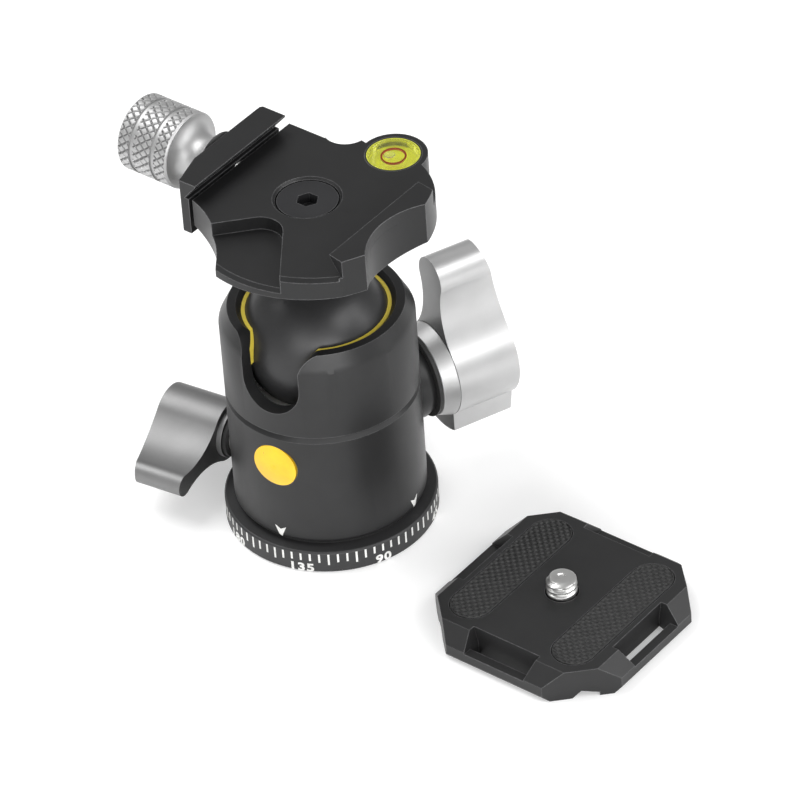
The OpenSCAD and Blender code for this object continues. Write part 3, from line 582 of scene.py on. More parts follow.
@dataclass(frozen=True)
class Metal:
    """Metal or anodised metal with a blasted or turned skin.

    Attributes:
        name: Name of the material.
        tone: Main colour.
        metallic: Share of metal in the shader.
        rough: Middle of the roughness.
        grain: Size of the grain in millimetres.
        depth: Depth of the grain in millimetres.
        lines: Stretch of the grain, for turned or brushed skins.
        shade: Share by which large patches differ in tone.
        wear: Share by which outer edges are lighter: rubbed metal and a painted highlight.
        coat: Weight of a clear coat.
        recess: Share of painted shade in grooves.
        out: Direction of the end faces, which get painted shade.
        bare: Colour of a rubbed edge, which is also a painted highlight.
        deep: Tone of the painted shade in grooves, as a share of the main one.
        milled: Tone of the painted shade on the end faces, as a share of the main one.
        spread: Range of the roughness to either side of its middle.
    """

    name: str
    tone: Triple
    metallic: float
    rough: float
    grain: float
    depth: float
    lines: Triple = (1, 1, 1)
    shade: float = 0.08
    wear: float = 0.0
    coat: float = 0.0
    recess: float = 0.0
    out: Optional[Triple] = None
    bare: Triple = (0.42, 0.42, 0.43)
    deep: float = 0.18
    milled: float = 0.3
    spread: float = 0.04

    def make(self) -> bpy.types.Material:
        """Builds the material: patchy tone, rubbed edges with painted highlights, painted shade in
        grooves and on end faces, grain in roughness and bump.

        Returns:
            The material.
        """
        tree = Tree(self.name)
        tree.set(Metallic=self.metallic, IOR=1.5, Coat_Weight=self.coat, Coat_Roughness=0.12)
        colour = tree.mottle(self.tone, size=9.0, dark=1 - self.shade, light=1 + self.shade)
        # Outer edges are lighter: partly rubbed metal, partly a painted highlight.
        if self.wear:
            colour = tree.worn(colour, self.wear, self.bare)
        # Painted shade in grooves and hollows.
        if self.recess:
            colour = tree.grooves(colour, self.recess, scaled(self.tone, self.deep))
        # Painted shade: the faces that look along the knob's axis are darker.
        if self.out:
            colour = tree.ends(colour, self.out, scaled(self.tone, self.milled))
        grain = tree.noise(self.grain, detail=2, stretch=self.lines)
        fine = tree.span(grain, tree.MIDDLE, (self.rough - self.spread, self.rough + self.spread))
        smudges = tree.clouds(size=14.0, detail=4, source=tree.MIDDLE, target=(-0.03, 0.04))
        tree.drive(Base_Color=colour, Roughness=tree.math("ADD", fine, smudges))
        tree.bump(grain, self.depth)
        return tree.material


@dataclass(frozen=True)
class Rubber:
    """Matt moulded rubber or plastic.

    Attributes:
        name: Name of the material.
        tone: Main colour.
        rough: Middle of the roughness.
        sheen: Weight of the dusty sheen.
        gloss: Weight of a clear coat.
        recess: Share of painted shade in grooves.
        deep: Tone of that painted shade, as a share of the main one.
        spread: Range of the roughness to either side of its middle.
    """

    name: str
    tone: Triple
    rough: float
    sheen: float = 0.0
    gloss: float = 0.0
    recess: float = 0.0
    deep: float = 0.1
    spread: float = 0.08

    def make(self) -> bpy.types.Material:
        """Builds the material: mottled tone, painted shade in grooves, uneven roughness and a fine moulded
        grain.

        Returns:
            The material.
        """
        tree = Tree(self.name)
        tree.set(IOR=1.48, Sheen_Weight=self.sheen, Coat_Weight=self.gloss, Coat_Roughness=0.08)
        colour = tree.mottle(self.tone, size=2.5, dark=0.82, light=1.12)
        # Painted shade in grooves, such as the holes of the pads' weave.
        if self.recess:
            colour = tree.grooves(colour, self.recess, scaled(self.tone, self.deep))
        tree.drive(Base_Color=colour)
        rough = (self.rough - self.spread, min(1.0, self.rough + self.spread))
        tree.grain(size=0.25, rough=rough, depth=0.01, strength=0.6)
        return tree.material


@dataclass(frozen=True)
class Clear:
    """Tinted see-through plastic or liquid.

    Attributes:
        name: Name of the material.
        tone: Tint.
        index: Index of refraction.
        rough: Roughness.
        see: Share of light that passes.
        glow: Painted light that the material gives out, though it is no lamp.
        spread: Range of the roughness above it.
    """

    name: str
    tone: Triple
    index: float
    rough: float
    see: float = 1.0
    glow: float = 0.0
    spread: float = 0.05

    def make(self) -> bpy.types.Material:
        """Builds the material: tint with faint clouds, and hair-fine wear in the roughness.

        Returns:
            The material.
        """
        tree = Tree(self.name)
        tree.set(IOR=self.index, Transmission_Weight=self.see)
        # Emission here is painted light: the material shines though it is no lamp.
        tree.set(Emission_Color=(*self.tone, 1), Emission_Strength=self.glow)
        clouds = tree.clouds(size=3.0, detail=2, source=tree.MIDDLE)
        tree.drive(Base_Color=tree.blend(clouds, self.tone, scaled(self.tone, 1.05, lift=0.01)))
        rough = (self.rough, self.rough + self.spread)
        tree.grain(size=0.4, rough=rough, depth=0.001, strength=0.3, source=(0.35, 0.75))
        return tree.material


@dataclass(frozen=True)
class Vial:
    """Cup of the level: a bright floor, a wall in painted shade that painted light lightens near its top,
    a rim of painted shadow, and emission that is painted light.

    Attributes:
        name: Name of the material.
        floor: Colour of the floor.
        wall: Colour of the wall, a painted shade of the floor's colour.
        centre: Place of its axis in millimetres.
        floor_z: Height of the floor in millimetres.
        rim_r: Radius at which the rim of painted shadow starts, in millimetres.
        glow: Painted light that the cup gives out, though it is no lamp.
        rim: Colour of the rim, a painted shadow.
        rim_blur: Half width of that rim's edge.
        wall_rise: Heights over the floor between which the wall's painted shade comes in.
        lip_rise: Heights over the floor between which painted light takes it back at the top of the wall.
        lip_share: Share by which it takes it back.
    """

    name: str
    floor: Triple
    wall: Triple
    centre: Pair
    floor_z: float
    rim_r: float
    glow: float
    rim: Triple = (0.015, 0.016, 0.01)
    rim_blur: float = 0.05
    wall_rise: Pair = (0.1, 0.5)
    lip_rise: Pair = (1.7, 2.1)
    lip_share: float = 0.75

    def heights(self, rise: Pair) -> Pair:
        """Two heights over the floor, as heights over the ground in metres."""
        return (self.floor_z + rise[0]) * MM, (self.floor_z + rise[1]) * MM

    def make(self) -> bpy.types.Material:
        """Builds the material: painted shade and light by height, a painted shadow rim by distance from the
        axis.

        Returns:
            The material.
        """
        tree = Tree(self.name)
        # Emission here is painted light: the cup shines in its own colours though it is no lamp.
        tree.set(IOR=1.49, Emission_Strength=self.glow)
        # Painted shade: the wall is darker than the floor.
        rise = tree.span(tree.height(), self.heights(self.wall_rise))
        clouds = tree.clouds(size=2.5, detail=2, source=(0.2, 0.6), target=(0.7, 1.0))
        colour = tree.blend(tree.math("MULTIPLY", rise, clouds), self.floor, self.wall)
        # Painted light: the top of the wall goes back towards the floor's colour.
        lip_light = tree.span(tree.height(), self.heights(self.lip_rise), (0.0, self.lip_share))
        colour = tree.blend(lip_light, colour, self.floor)
        # Painted shadow: a dark rim round the cup.
        edge = ((self.rim_r - self.rim_blur) * MM, (self.rim_r + self.rim_blur) * MM)
        colour = tree.blend(tree.span(tree.radius(*self.centre), edge), colour, self.rim)
        tree.drive(Base_Color=colour, Emission_Color=colour)
        tree.grain(size=0.4, rough=(0.15, 0.3), depth=0.002, strength=0.4)
        return tree.material


class Skin(Enum):
    """The object's finishes."""

    # In this table the edge share gives rubbed edges with a painted highlight, the groove share paints
    # shade, the end direction paints shade on end faces, and emission is painted light.
    CASING = Metal("casing_skin", (0.022, 0.022, 0.0225), 0.35, 0.40, 0.10, 0.003, wear=0.25)
    CLAMP = Metal("clamp_skin", (0.014, 0.014, 0.0145), 0.30, 0.38, 0.10, 0.003, wear=0.45)
    SCOOP = Metal("scallop_skin", (0.014, 0.014, 0.0145), 0.30, 0.38, 0.10, 0.003)
    PLATE = Metal("plate_skin", (0.022, 0.022, 0.0225), 0.30, 0.40, 0.10, 0.003, wear=0.35, recess=0.7)
    RING = Metal("ring_skin", (0.036, 0.036, 0.037), 0.30, 0.46, 0.10, 0.003, wear=0.2)
    HUB = Metal("hub_skin", (0.060, 0.060, 0.063), 0.40, 0.45, 0.10, 0.003, wear=0.3)
    BALL = Metal("ball_skin", (0.030, 0.030, 0.031), 0.20, 0.38, 0.12, 0.004)
    BOLT = Metal("bolt_skin", (0.030, 0.030, 0.032), 0.50, 0.36, 0.15, 0.004, wear=0.3)
    CAP = Metal("cap_skin", (0.10, 0.10, 0.105), 0.8, 0.34, 0.15, 0.004, wear=0.3)
    SILVER = Metal("silver_skin", (0.60, 0.60, 0.60), 1.0, 0.42, 0.09, 0.003, shade=0.03, out=MAIN_OUT)
    FLANGE = Metal("flange_skin", (0.50, 0.50, 0.50), 0.9, 0.48, 0.10, 0.003, shade=0.04)
    PAN_SILVER = Metal("pan_silver_skin", (0.25, 0.25, 0.25), 0.85, 0.50, 0.12, 0.008, shade=0.04,
                       out=PAN_OUT)
    KNURL = Metal("knurl_skin", (0.50, 0.50, 0.50), 0.95, 0.50, 0.10, 0.003, shade=0.03, recess=0.55)
    STEEL = Metal("steel_skin", (0.62, 0.62, 0.61), 1.0, 0.36, 0.30, 0.003, lines=(1, 1, 6), shade=0.04)
    BRASS = Metal("brass_skin", (0.72, 0.52, 0.22), 1.0, 0.30, 0.30, 0.003, lines=(1, 1, 6), shade=0.06)
    BADGE = Metal("badge_enamel", (1.0, 0.56, 0.01), 0.55, 0.30, 2.2, 0.10, shade=0.12, coat=0.6)
    GASKET = Rubber("gasket_rubber", (0.018, 0.018, 0.018), 0.62, 0.05)
    PAD = Rubber("pad_rubber", (0.020, 0.020, 0.020), 0.48, 0.05, recess=0.95)
    PALE = Rubber("pale_washer", (0.70, 0.70, 0.66), 0.45)
    LINER = Rubber("liner_yellow", (0.95, 0.80, 0.06), 0.38, gloss=0.3)
    PAINT = Rubber("white_paint", (0.82, 0.82, 0.80), 0.5)
    VIAL = Vial("vial_plastic", floor=(0.74, 0.77, 0.07), wall=(0.12, 0.13, 0.03), centre=LEVEL_AT,
                floor_z=75.25, rim_r=5.45, glow=0.36)
    FLUID = Clear("vial_fluid", (0.98, 0.97, 0.66), index=1.16, rough=0.01)
    TARGET = Clear("target_red", (0.50, 0.07, 0.015), index=1.45, rough=0.3, see=0.0, glow=0.25)
    BUBBLE = Clear("vial_bubble", (0.80, 0.84, 0.45), index=1.30, rough=0.03, see=0.9, glow=0.06)
    GLASS = Clear("vial_glass", (0.97, 0.98, 0.76), index=1.40, rough=0.01)

    @property
    def material(self) -> bpy.types.Material:
        """The finish's material, made on first use."""
        return bpy.data.materials.get(self.value.name) or self.value.make()


def paint(piece: bpy.types.Object, skin: Skin) -> None:
    """Gives a piece one finish, in every slot."""
    piece.data.materials.clear()
    piece.data.materials.append(skin.material)


class Soften:
    """Modifiers that close a CAD mesh's seams, round its edges and shade it by angle.

    Attributes:
        DOUBLES: Distance in metres under which two points are one.
    """

    DOUBLES: float = 2e-6

    @classmethod
    def shading(cls, limit: float) -> bpy.types.NodeTree:
        """Geometry nodes that merge doubles and mark edges over a limit as sharp.

        Args:
            limit: Angle in degrees.

        Returns:
            The node group, shared by all pieces with that limit.
        """
        name = f"shade_by_angle_{limit:.0f}"
        if name in bpy.data.node_groups:
            return bpy.data.node_groups[name]
        group = bpy.data.node_groups.new(name, "GeometryNodeTree")
        for way in ("INPUT", "OUTPUT"):
            group.interface.new_socket("Geometry", in_out=way, socket_type="NodeSocketGeometry")
        make, link = group.nodes.new, group.links.new
        start, end = make("NodeGroupInput"), make("NodeGroupOutput")
        merge = make("GeometryNodeMergeByDistance")
        merge.inputs["Distance"].default_value = cls.DOUBLES
        angle = make("GeometryNodeInputMeshEdgeAngle")
        over = make("FunctionNodeCompare")
        over.operation = "LESS_THAN"
        over.inputs[1].default_value = math.radians(limit)
        whole, edges = make("GeometryNodeSetShadeSmooth"), make("GeometryNodeSetShadeSmooth")
        edges.domain = "EDGE"
        link(start.outputs[0], merge.inputs["Geometry"])
        link(merge.outputs["Geometry"], whole.inputs["Geometry"])
        link(whole.outputs["Geometry"], edges.inputs["Geometry"])
        link(angle.outputs["Unsigned Angle"], over.inputs[0])
        link(over.outputs["Result"], edges.inputs["Shade Smooth"])
        link(edges.outputs["Geometry"], end.inputs[0])
        return group

    @classmethod
    def apply(cls, piece: bpy.types.Object, limit: float, width: float = 0.0, segments: int = 2) -> None:
        """Adds the modifiers to a piece.

        Args:
            piece: The piece, a CAD node or a new one.
            limit: Angle in degrees over which an edge is sharp and is rounded.
            width: Width of the rounding in millimetres, or 0 for shading alone.
            segments: Facets of the rounding.
        """
        shade = piece.modifiers.new("shade", "NODES")
        shade.node_group = cls.shading(limit)
        if width:
            bevel = piece.modifiers.new("edges", "BEVEL")
            bevel.width = width * MM
            bevel.segments = segments
            bevel.limit_method = "ANGLE"
            bevel.angle_limit = math.radians(limit)
            bevel.harden_normals = True


def dress(skin: Skin, *nodes: str, width: float = 0.0, segments: int = 2, limit: float = 28) -> None:
    """Finishes CAD nodes that keep their own shape.

    Args:
        skin: Their finish.
        *nodes: Names of the nodes.
        width: Width of their edge rounding in millimetres.
        segments: Facets of the rounding.
        limit: Angle in degrees over which an edge is rounded.
    """
    for node in nodes:
        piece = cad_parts[node]
        paint(piece, skin)
        Soften.apply(piece, limit, width, segments)
        LOG.info("dressed %s with %s", node, skin.name.lower())


def add(name: str, shape: Shape, skin: Skin, body: str, replaces: tuple[str, ...] = (),
        limit: float = 40) -> None:
    """Adds a new piece that rides on a body.

    Args:
        name: Name of the piece.
        shape: Its points and faces in millimetres.
        skin: Its finish.
        body: Body that it rides on.
        replaces: CAD nodes that it stands for.
        limit: Angle in degrees over which an edge is sharp.
    """
    piece = put_mesh(name, shape)
    paint(piece, skin)
    Soften.apply(piece, limit)
    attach(piece, body)
    if replaces:
        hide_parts(*replaces)
    LOG.info("added %s on %s: %d points", name, body, len(piece.data.vertices))


# Sub-assemblies


@dataclass
class Base:
    """Degree ring, hub and tripod thread; it stands still.

    Attributes:
        ring_r: Outer radius of the ring.
        zero: Bearing of the scale's zero in degrees from +X.
        tick_step: Degrees from one mark to the next.
        tick_top: Height of the marks' upper ends.
        tick_w: Width of a mark.
        tick_long: Length of every third mark.
        tick_mid: Length of the others.
        tick_short: Length of a mark over or beside a number.
        number_step: Degrees from one number to the next.
        number_h: Height of the numbers.
        number_z: Height of the numbers' feet.
        number_t: Half thickness of the numbers before they are bent.
        digit_share: Height of a digit as a share of the letters' size.
        bold: How much the digits' strokes are thickened.
        apart: Spread of the digits.
        widen: Stretch of the numbers along the ring.
        paint_t: How far the paint stands out.
        paint_in: How far it reaches into the ring.
        bush_r: Outer radius of the thread bush.
        bush_h: Its length.
        thread_r: Core radius of the tripod thread.
        thread_from: Height at which it starts.
        thread_past: How far past the bush it would run out.
    """

    ring_r: float = 22.15
    zero: float = 66.47
    tick_step: int = 5
    tick_top: float = 4.76
    tick_w: float = 0.42
    tick_long: float = 2.7
    tick_mid: float = 2.1
    tick_short: float = 1.75
    number_step: int = 45
    number_h: float = 2.0
    number_z: float = 0.3
    number_t: float = 0.065
    digit_share: float = 0.73
    bold: float = 0.10
    apart: float = 1.16
    widen: float = 1.2
    paint_t: float = 0.03
    paint_in: float = 0.1
    bush_r: float = 6.6
    bush_h: float = 12.0
    thread_r: float = 3.97
    thread_from: float = 0.3
    thread_past: float = 1.0

    def wrap(self, across: Array, up: Array, out: Array, degree: float) -> Array:
        """Bends flat points round the ring: the bearing is the scale's, plus across over radius.

        Args:
            across: Distances to the right, in millimetres.
            up: Heights.
            out: Distances from the ring's wall.
            degree: Reading on the scale at across = 0.

        Returns:
            The points, shape (n, 3).
        """
        return round_axis(self.ring_r + out, math.radians(self.zero - degree) + across / self.ring_r, up)

    def ticks(self) -> Shape:
        """Marks at even steps: long at every third, short over a number, each a thin closed bar.

        Returns:
            All marks as one shape.
        """
        shapes = []
        half = self.tick_w / 2
        near_number = (0, self.tick_step, self.number_step - self.tick_step)
        for degree in range(0, 360, self.tick_step):
            length = self.tick_long if degree % (3 * self.tick_step) == 0 else self.tick_mid
            if degree % self.number_step in near_number:
                length = self.tick_short
            low, high = self.tick_top - length, self.tick_top
            plan = np.array([[-half, low], [half, low], [half, high], [-half, high]])
            flat, faces = prism(plan, -self.paint_in, self.paint_t)
            shapes.append((self.wrap(*flat.T, degree), faces))
        return join_shapes(shapes)

    def letters(self, text: str) -> tuple[Array, Array]:
        """Draws a text as a flat closed mesh and merges its doubles.

        Args:
            text: The text.

        Returns:
            Its points (n, 3) and the corner indices of its triangles (m, 3).
        """
        curve = bpy.data.curves.new("number", "FONT")
        curve.body = text
        curve.size = self.number_h / self.digit_share
        curve.offset = self.bold
        curve.space_character = self.apart
        curve.extrude = self.number_t
        curve.resolution_u = 4
        curve.align_x = "CENTER"
        drawn = bpy.data.objects.new("number", curve)
        bpy.context.scene.collection.objects.link(drawn)
        graph = bpy.context.evaluated_depsgraph_get()
        mesh = bpy.data.meshes.new_from_object(drawn.evaluated_get(graph))
        mesh.calc_loop_triangles()
        points = np.empty(len(mesh.vertices) * 3, np.float32)
        corners = np.empty(len(mesh.loop_triangles) * 3, np.int32)
        mesh.vertices.foreach_get("co", points)
        mesh.loop_triangles.foreach_get("vertices", corners)
        bpy.data.objects.remove(drawn)
        bpy.data.meshes.remove(mesh)
        rounded = np.round(points.reshape(-1, 3), decimals=4)
        points, kept = np.unique(rounded, axis=0, return_inverse=True)
        return points, kept.ravel()[corners].reshape(-1, 3)

    def numbers(self) -> Shape:
        """Numbers at even steps, as thin closed letters bent round the ring.

        Returns:
            All numbers as one shape of triangles.
        """
        shapes = []
        for degree in range(0, 360, self.number_step):
            flat, triangles = self.letters(str(degree))
            out = np.where(flat[:, 2] > 0, self.paint_t, -self.paint_in)
            bent = self.wrap(flat[:, 0] * self.widen, flat[:, 1] + self.number_z, out, degree)
            shapes.append((bent, [triangles]))
        return join_shapes(shapes)

    def bush(self) -> Shape:
        """Brass bush whose bore carries the tripod thread.

        The profile is a rectangle in the plane of radius and height, whose inner side has a row
        of points at each small step for the thread's wave.

        Returns:
            A closed ring with a helical V cut outwards from its bore.
        """
        rows = 96
        low, high = 2 * HAIR, self.bush_h - 2 * HAIR
        end = self.bush_h + self.thread_past
        thread = Thread(pitch=1.5875, depth=0.75, low=self.thread_from, high=end, inner=True)
        bore = np.stack([np.full(rows, self.thread_r), np.linspace(high, low, rows)], 1)
        rim = np.array([[self.bush_r, low], [self.bush_r, high]])

        def swell(angle: Array, r: Array, z: Array) -> Array:
            """Cuts the thread into the bore's rows alone."""
            return np.where(r < self.bush_r, thread.swell(angle, r, z), 0)

        return revolve(np.concatenate([rim, bore]), ROUND, swell)

    def build(self) -> None:
        """Dresses the base and adds its scale and thread."""
        dress(Skin.RING, "scale_ring", width=0.12)
        dress(Skin.HUB, "base_hub", width=0.1)
        dress(Skin.HUB, "base_spigot")
        dress(Skin.GASKET, "pan_shim")
        dress(Skin.STEEL, "keeper_ring", width=0.1)
        add("degree_marks", self.ticks(), Skin.PAINT, "base", limit=20)
        add("degree_numbers", self.numbers(), Skin.PAINT, "base", limit=20)
        add("tripod_thread", self.bush(), Skin.BRASS, "base", ("thread_bush",))


@dataclass
class Casing:
    """Casing with its notch, liner, badge, bosses and foot marks; it pans.

    Attributes:
        radius: Outer radius.
        foot_z: Height of the casing's foot.
        foot_r: Rounding of the foot.
        bearings: Bearings of the two foot marks in degrees from +X.
        mark_w: Width of a foot mark.
        mark_top: Height of its upper corners.
        mark_tip: Height of its tip.
        mark_dip: Depth of the notch in its top.
        mark_blunt: Share of its length that is cut off at the tip.
        mark_out: How far it stands out of the skin.
        mark_in: How far it reaches into the skin.
        mark_rows: Rows of points along it.
    """

    radius: float = 20.0
    foot_z: float = 5.65
    foot_r: float = 1.5
    bearings: Pair = (-82.3, 7.7)
    mark_w: float = 2.6
    mark_top: float = 9.0
    mark_tip: float = 5.95
    mark_dip: float = 0.75
    mark_blunt: float = 0.02
    mark_out: float = 0.03
    mark_in: float = 0.12
    mark_rows: int = 12

    def skin_r(self, z: Array) -> Array:
        """Radius of the casing's skin near its foot: a quarter circle below foot_z + foot_r."""
        drop = np.clip(self.foot_z + self.foot_r - z, 0, self.foot_r)
        return self.radius - self.foot_r + np.sqrt(self.foot_r ** 2 - drop ** 2)

    def marks(self) -> Shape:
        """Two white darts that point down to the scale, bent to the casing's skin.

        Each dart is two halves beside its middle line. A half is a grid whose rows run from the
        tip to the top: its width grows evenly, and its top dips towards the middle line.

        Returns:
            Both darts as one shape.
        """
        shapes = []
        share = np.linspace(self.mark_blunt, 1, self.mark_rows)[:, None]
        dip = self.mark_dip * np.array([[1.0, 0.5, 0.0]])
        up = self.mark_tip + share * (self.mark_top - self.mark_tip - dip)
        for bearing in self.bearings:
            for side in (-1, 1):
                across = side * share * self.mark_w / 2 * np.array([[0.0, 0.5, 1.0]])
                angle = math.radians(bearing) + across / self.radius
                outer, inner = (round_axis(self.skin_r(up) + rise, angle, up)
                                for rise in (self.mark_out, -self.mark_in))
                shapes.append(slab(outer, inner, turned=side < 0))
        return join_shapes(shapes)

    def build(self) -> None:
        """Dresses the casing and adds its foot marks."""
        dress(Skin.CASING, "casing", width=0.18)
        dress(Skin.LINER, "ball_liner", width=0.08)
        dress(Skin.BRASS, "press_block")
        dress(Skin.CASING, "main_boss", width=0.15)
        dress(Skin.GASKET, "main_rubber", width=0.12)
        dress(Skin.STEEL, "pan_sleeve", width=0.1)
        dress(Skin.GASKET, "pan_ring", width=0.1)
        dress(Skin.BADGE, "badge", width=0.25, segments=3)
        add("foot_marks", self.marks(), Skin.PAINT, "casing", limit=20)


@dataclass
class Ball:
    """Ball, cup and clamp bolt."""

    def build(self) -> None:
        """Dresses the ball and what holds it."""
        dress(Skin.PALE, "ball_cup")
        dress(Skin.BALL, "ball", width=0.12)
        dress(Skin.BOLT, "clamp_bolt", width=0.12)


@dataclass
class Knobs:
    """Main knob and pan knob, each with its screw and cap."""

    def build(self) -> None:
        """Dresses both knobs."""
        dress(Skin.STEEL, "main_screw", "pan_screw")
        dress(Skin.BRASS, "brake_tip")
        dress(Skin.FLANGE, "main_flange", width=0.3, segments=3)
        dress(Skin.SILVER, "main_knob", width=0.35, segments=3)
        dress(Skin.PAN_SILVER, "pan_collar", width=0.12)
        dress(Skin.PAN_SILVER, "pan_knob", width=0.35, segments=3)
        dress(Skin.CAP, "main_cap", "pan_cap", width=0.1)


@dataclass
class Clamp:
    """Clamp body, moving jaw and the knurled clamp knob.

    Attributes:
        screw_y: Place of the clamp screw, lengthways.
        screw_z: Height of its axis.
        screw_r: Its radius.
        screw_in: Its inner end, from the pan axis.
        screw_point: Width of the taper at its ends.
        screw_lead: Length before its thread starts.
        screw_tail: Length of the taper at its outer end.
        screw_fit: Gap between it and the knob's bore.
        stud_out: Its outer end.
        grip_in: Inner end of the knob.
        rim: Where the knob's barrel starts.
        grip_out: Outer face of the knob.
        grip_r: Radius of the barrel.
        bell_r: Radius of the neck.
        hollow_r: Radius of the hollow round the neck.
        rim_land: Plain rim between hollow and knurl.
        wall: Wall that closes the bore.
        edge: Chamfer of the rims.
        dish_r: Radii of the rim and the floor of the dish in the outer face.
        dish_d: Depth of the dish.
        bands: Places of the two grooves from the outer face.
        band_w: Width of a groove.
        band_d: Depth of a groove.
        band_slope: How far the sides of a groove lean in.
        teeth: Diamonds round the barrel.
        tooth_points: Points round one diamond.
        tooth_l: Length of a diamond along the axis.
        tooth_d: Depth between the diamonds.
        tooth_steep: Steepness of the diamonds' sides.
        tooth_land: Plain strip at each rim of a band.
        tooth_fade: Length over which the diamonds grow beside it.
        step: Greatest step of the barrel's profile.
        scoop_at: Axis of the scallop in the fixed jaw.
        scoop_r: Radius of that scallop.
        scoop_span: First and last bearing of the wall behind it, in degrees.
        scoop_t: Thickness of that wall.
        scoop_film: Hair's breadth by which it stands in front of the scallop.
        scoop_z: Lower and upper edge of that wall.
    """

    screw_y: float = 2.0
    screw_z: float = 76.55
    screw_r: float = 2.0
    screw_in: float = 7.5
    screw_point: float = 0.4
    screw_lead: float = 0.5
    screw_tail: float = 0.3
    screw_fit: float = 0.05
    stud_out: float = 41.4
    grip_in: float = 24.8
    rim: float = 31.9
    grip_out: float = 44.6
    grip_r: float = 8.2
    bell_r: float = 4.6
    hollow_r: float = 3.7
    rim_land: float = 0.12
    wall: float = 2.2
    edge: float = 0.32
    dish_r: Pair = (5.2, 4.9)
    dish_d: float = 0.35
    bands: Pair = (3.0, 8.5)
    band_w: float = 1.1
    band_d: float = 0.32
    band_slope: float = 0.06
    teeth: int = 28
    tooth_points: int = 14
    tooth_l: float = 2.3
    tooth_d: float = 0.42
    tooth_steep: float = 3.1
    tooth_land: float = 0.02
    tooth_fade: float = 0.1
    step: float = 0.125
    scoop_at: Pair = (37.3, -2.7)
    scoop_r: float = 16.0
    scoop_span: Pair = (161, 199)
    scoop_t: float = 0.22
    scoop_film: float = 0.015
    scoop_z: Pair = (78.5, 80.3)

    def to_screw(self, shape: Shape) -> Shape:
        """Turns a shape drawn along Z to the clamp screw: (x, y, z) becomes (-z, y, x)."""
        points, faces = shape
        x, y, z = points.T
        return np.stack([-z, y + self.screw_y, x + self.screw_z], 1), faces

    def knurl(self, angle: Array, r: Array, z: Array) -> Array:
        """Diamond knurl: two crossing sets of grooves, cut only into the barrel's bands.

        A groove runs where the angle's share of a tooth plus or minus the height's share of a
        tooth is whole; the cut is the deeper of the two, and fades at each band's rim.

        Args:
            angle: Angles round the axis.
            r: Radii of the profile's rows.
            z: Heights of the profile's rows.

        Returns:
            The change of radius in millimetres.
        """
        turns = angle * self.teeth / (2 * np.pi)
        along = (z - self.rim) / self.tooth_l
        cut = 1 - np.minimum(saw(turns + along), saw(turns - along)) * self.tooth_steep
        grooves = [self.grip_out - place for place in self.bands]
        ends = [self.rim + self.edge, self.grip_out - self.edge]
        ends += grooves + [place - self.band_w for place in grooves]
        reach = np.min([np.abs(z - end) for end in ends], axis=0)
        fade = np.clip((reach - self.tooth_land) / self.tooth_fade, 0, 1) * (r >= self.grip_r)
        return -self.tooth_d * np.clip(cut, 0, 1) * fade

    def grip(self) -> Shape:
        """Clamp knob: bore, hollow bell neck and a barrel of three knurled bands.

        The profile is carried round: the bore's straight, the hollow's arc from the neck to the
        barrel's rim, the barrel with its two grooves in small steps, and the dished face.

        Returns:
            The closed knob.
        """
        out, low_r = self.grip_out, self.grip_r - self.edge
        centre = (self.bell_r + self.hollow_r, self.rim - self.rim_land - self.hollow_r)
        first = math.degrees(math.asin((centre[1] - self.grip_in) / self.hollow_r))
        last = math.degrees(math.acos((centre[0] - self.grip_r + self.edge) / self.hollow_r))
        neck = arc(centre, self.hollow_r, 180 + first, 180 - last, count=40)
        steps = [[low_r, self.rim], [self.grip_r, self.rim + self.edge]]
        for place in reversed(self.bands):
            low, high = out - place - self.band_w, out - place
            floor = self.grip_r - self.band_d
            steps += [[self.grip_r, low], [floor, low + self.band_slope],
                      [floor, high - self.band_slope], [self.grip_r, high]]
        steps += [[self.grip_r, out - self.edge], [low_r, out]]
        face = [[self.dish_r[0], out], [self.dish_r[1], out - self.dish_d], [0, out - self.dish_d]]
        end, bore = out - self.wall, self.screw_r + self.screw_fit
        start = np.array([[0, end], [bore, end], [bore, self.grip_in]])
        profile = np.concatenate([start, neck, dense(np.array(steps), self.step), np.array(face)])
        return self.to_screw(revolve(profile, self.teeth * self.tooth_points, self.knurl))

    def stud(self) -> Shape:
        """Clamp screw: a rod, carried round with the helical V of a metric thread."""
        rows = 420
        low, high, tip_r = self.screw_in + 2 * HAIR, self.stud_out, self.screw_r - self.screw_point
        thread = Thread(pitch=0.7, depth=0.28, low=self.screw_in + self.screw_lead, high=high)
        z = np.linspace(self.screw_in + self.screw_point, high - self.screw_tail, rows)
        wall = np.stack([np.full_like(z, self.screw_r - HAIR), z], 1)
        profile = np.concatenate([[[0, low], [tip_r, low]], wall, [[tip_r, high], [0, high]]])
        return self.to_screw(revolve(profile, SMALL_ROUND, thread.swell))

    def web(self) -> Shape:
        """Wall that closes the scallop where the undercut behind it runs out: a piece of a tube."""
        (first, last), count = self.scoop_span, ROUND // 2 + 1
        near, far = self.scoop_r - self.scoop_film, self.scoop_r + self.scoop_t
        rims = [arc(self.scoop_at, near, first, last, count), arc(self.scoop_at, far, last, first, count)]
        return prism(np.concatenate(rims)[::-1], *self.scoop_z)

    def build(self) -> None:
        """Dresses the clamp and adds its knob, its threaded screw and the scallop's wall."""
        dress(Skin.CLAMP, "clamp_body", width=0.25, segments=3, limit=36)
        dress(Skin.CLAMP, "clamp_jaw", width=0.2)
        dress(Skin.STEEL, "guide_pin_front", "guide_pin_back")
        dress(Skin.PALE, "thrust_washer", width=0.08)
        add("scoop_wall", self.web(), Skin.SCOOP, "clamp", limit=30)
        add("clamp_screw", self.stud(), Skin.STEEL, "clamp", ("clamp_stud",))
        add("clamp_grip", self.grip(), Skin.KNURL, "clamp_knob", ("clamp_knob",), limit=34)


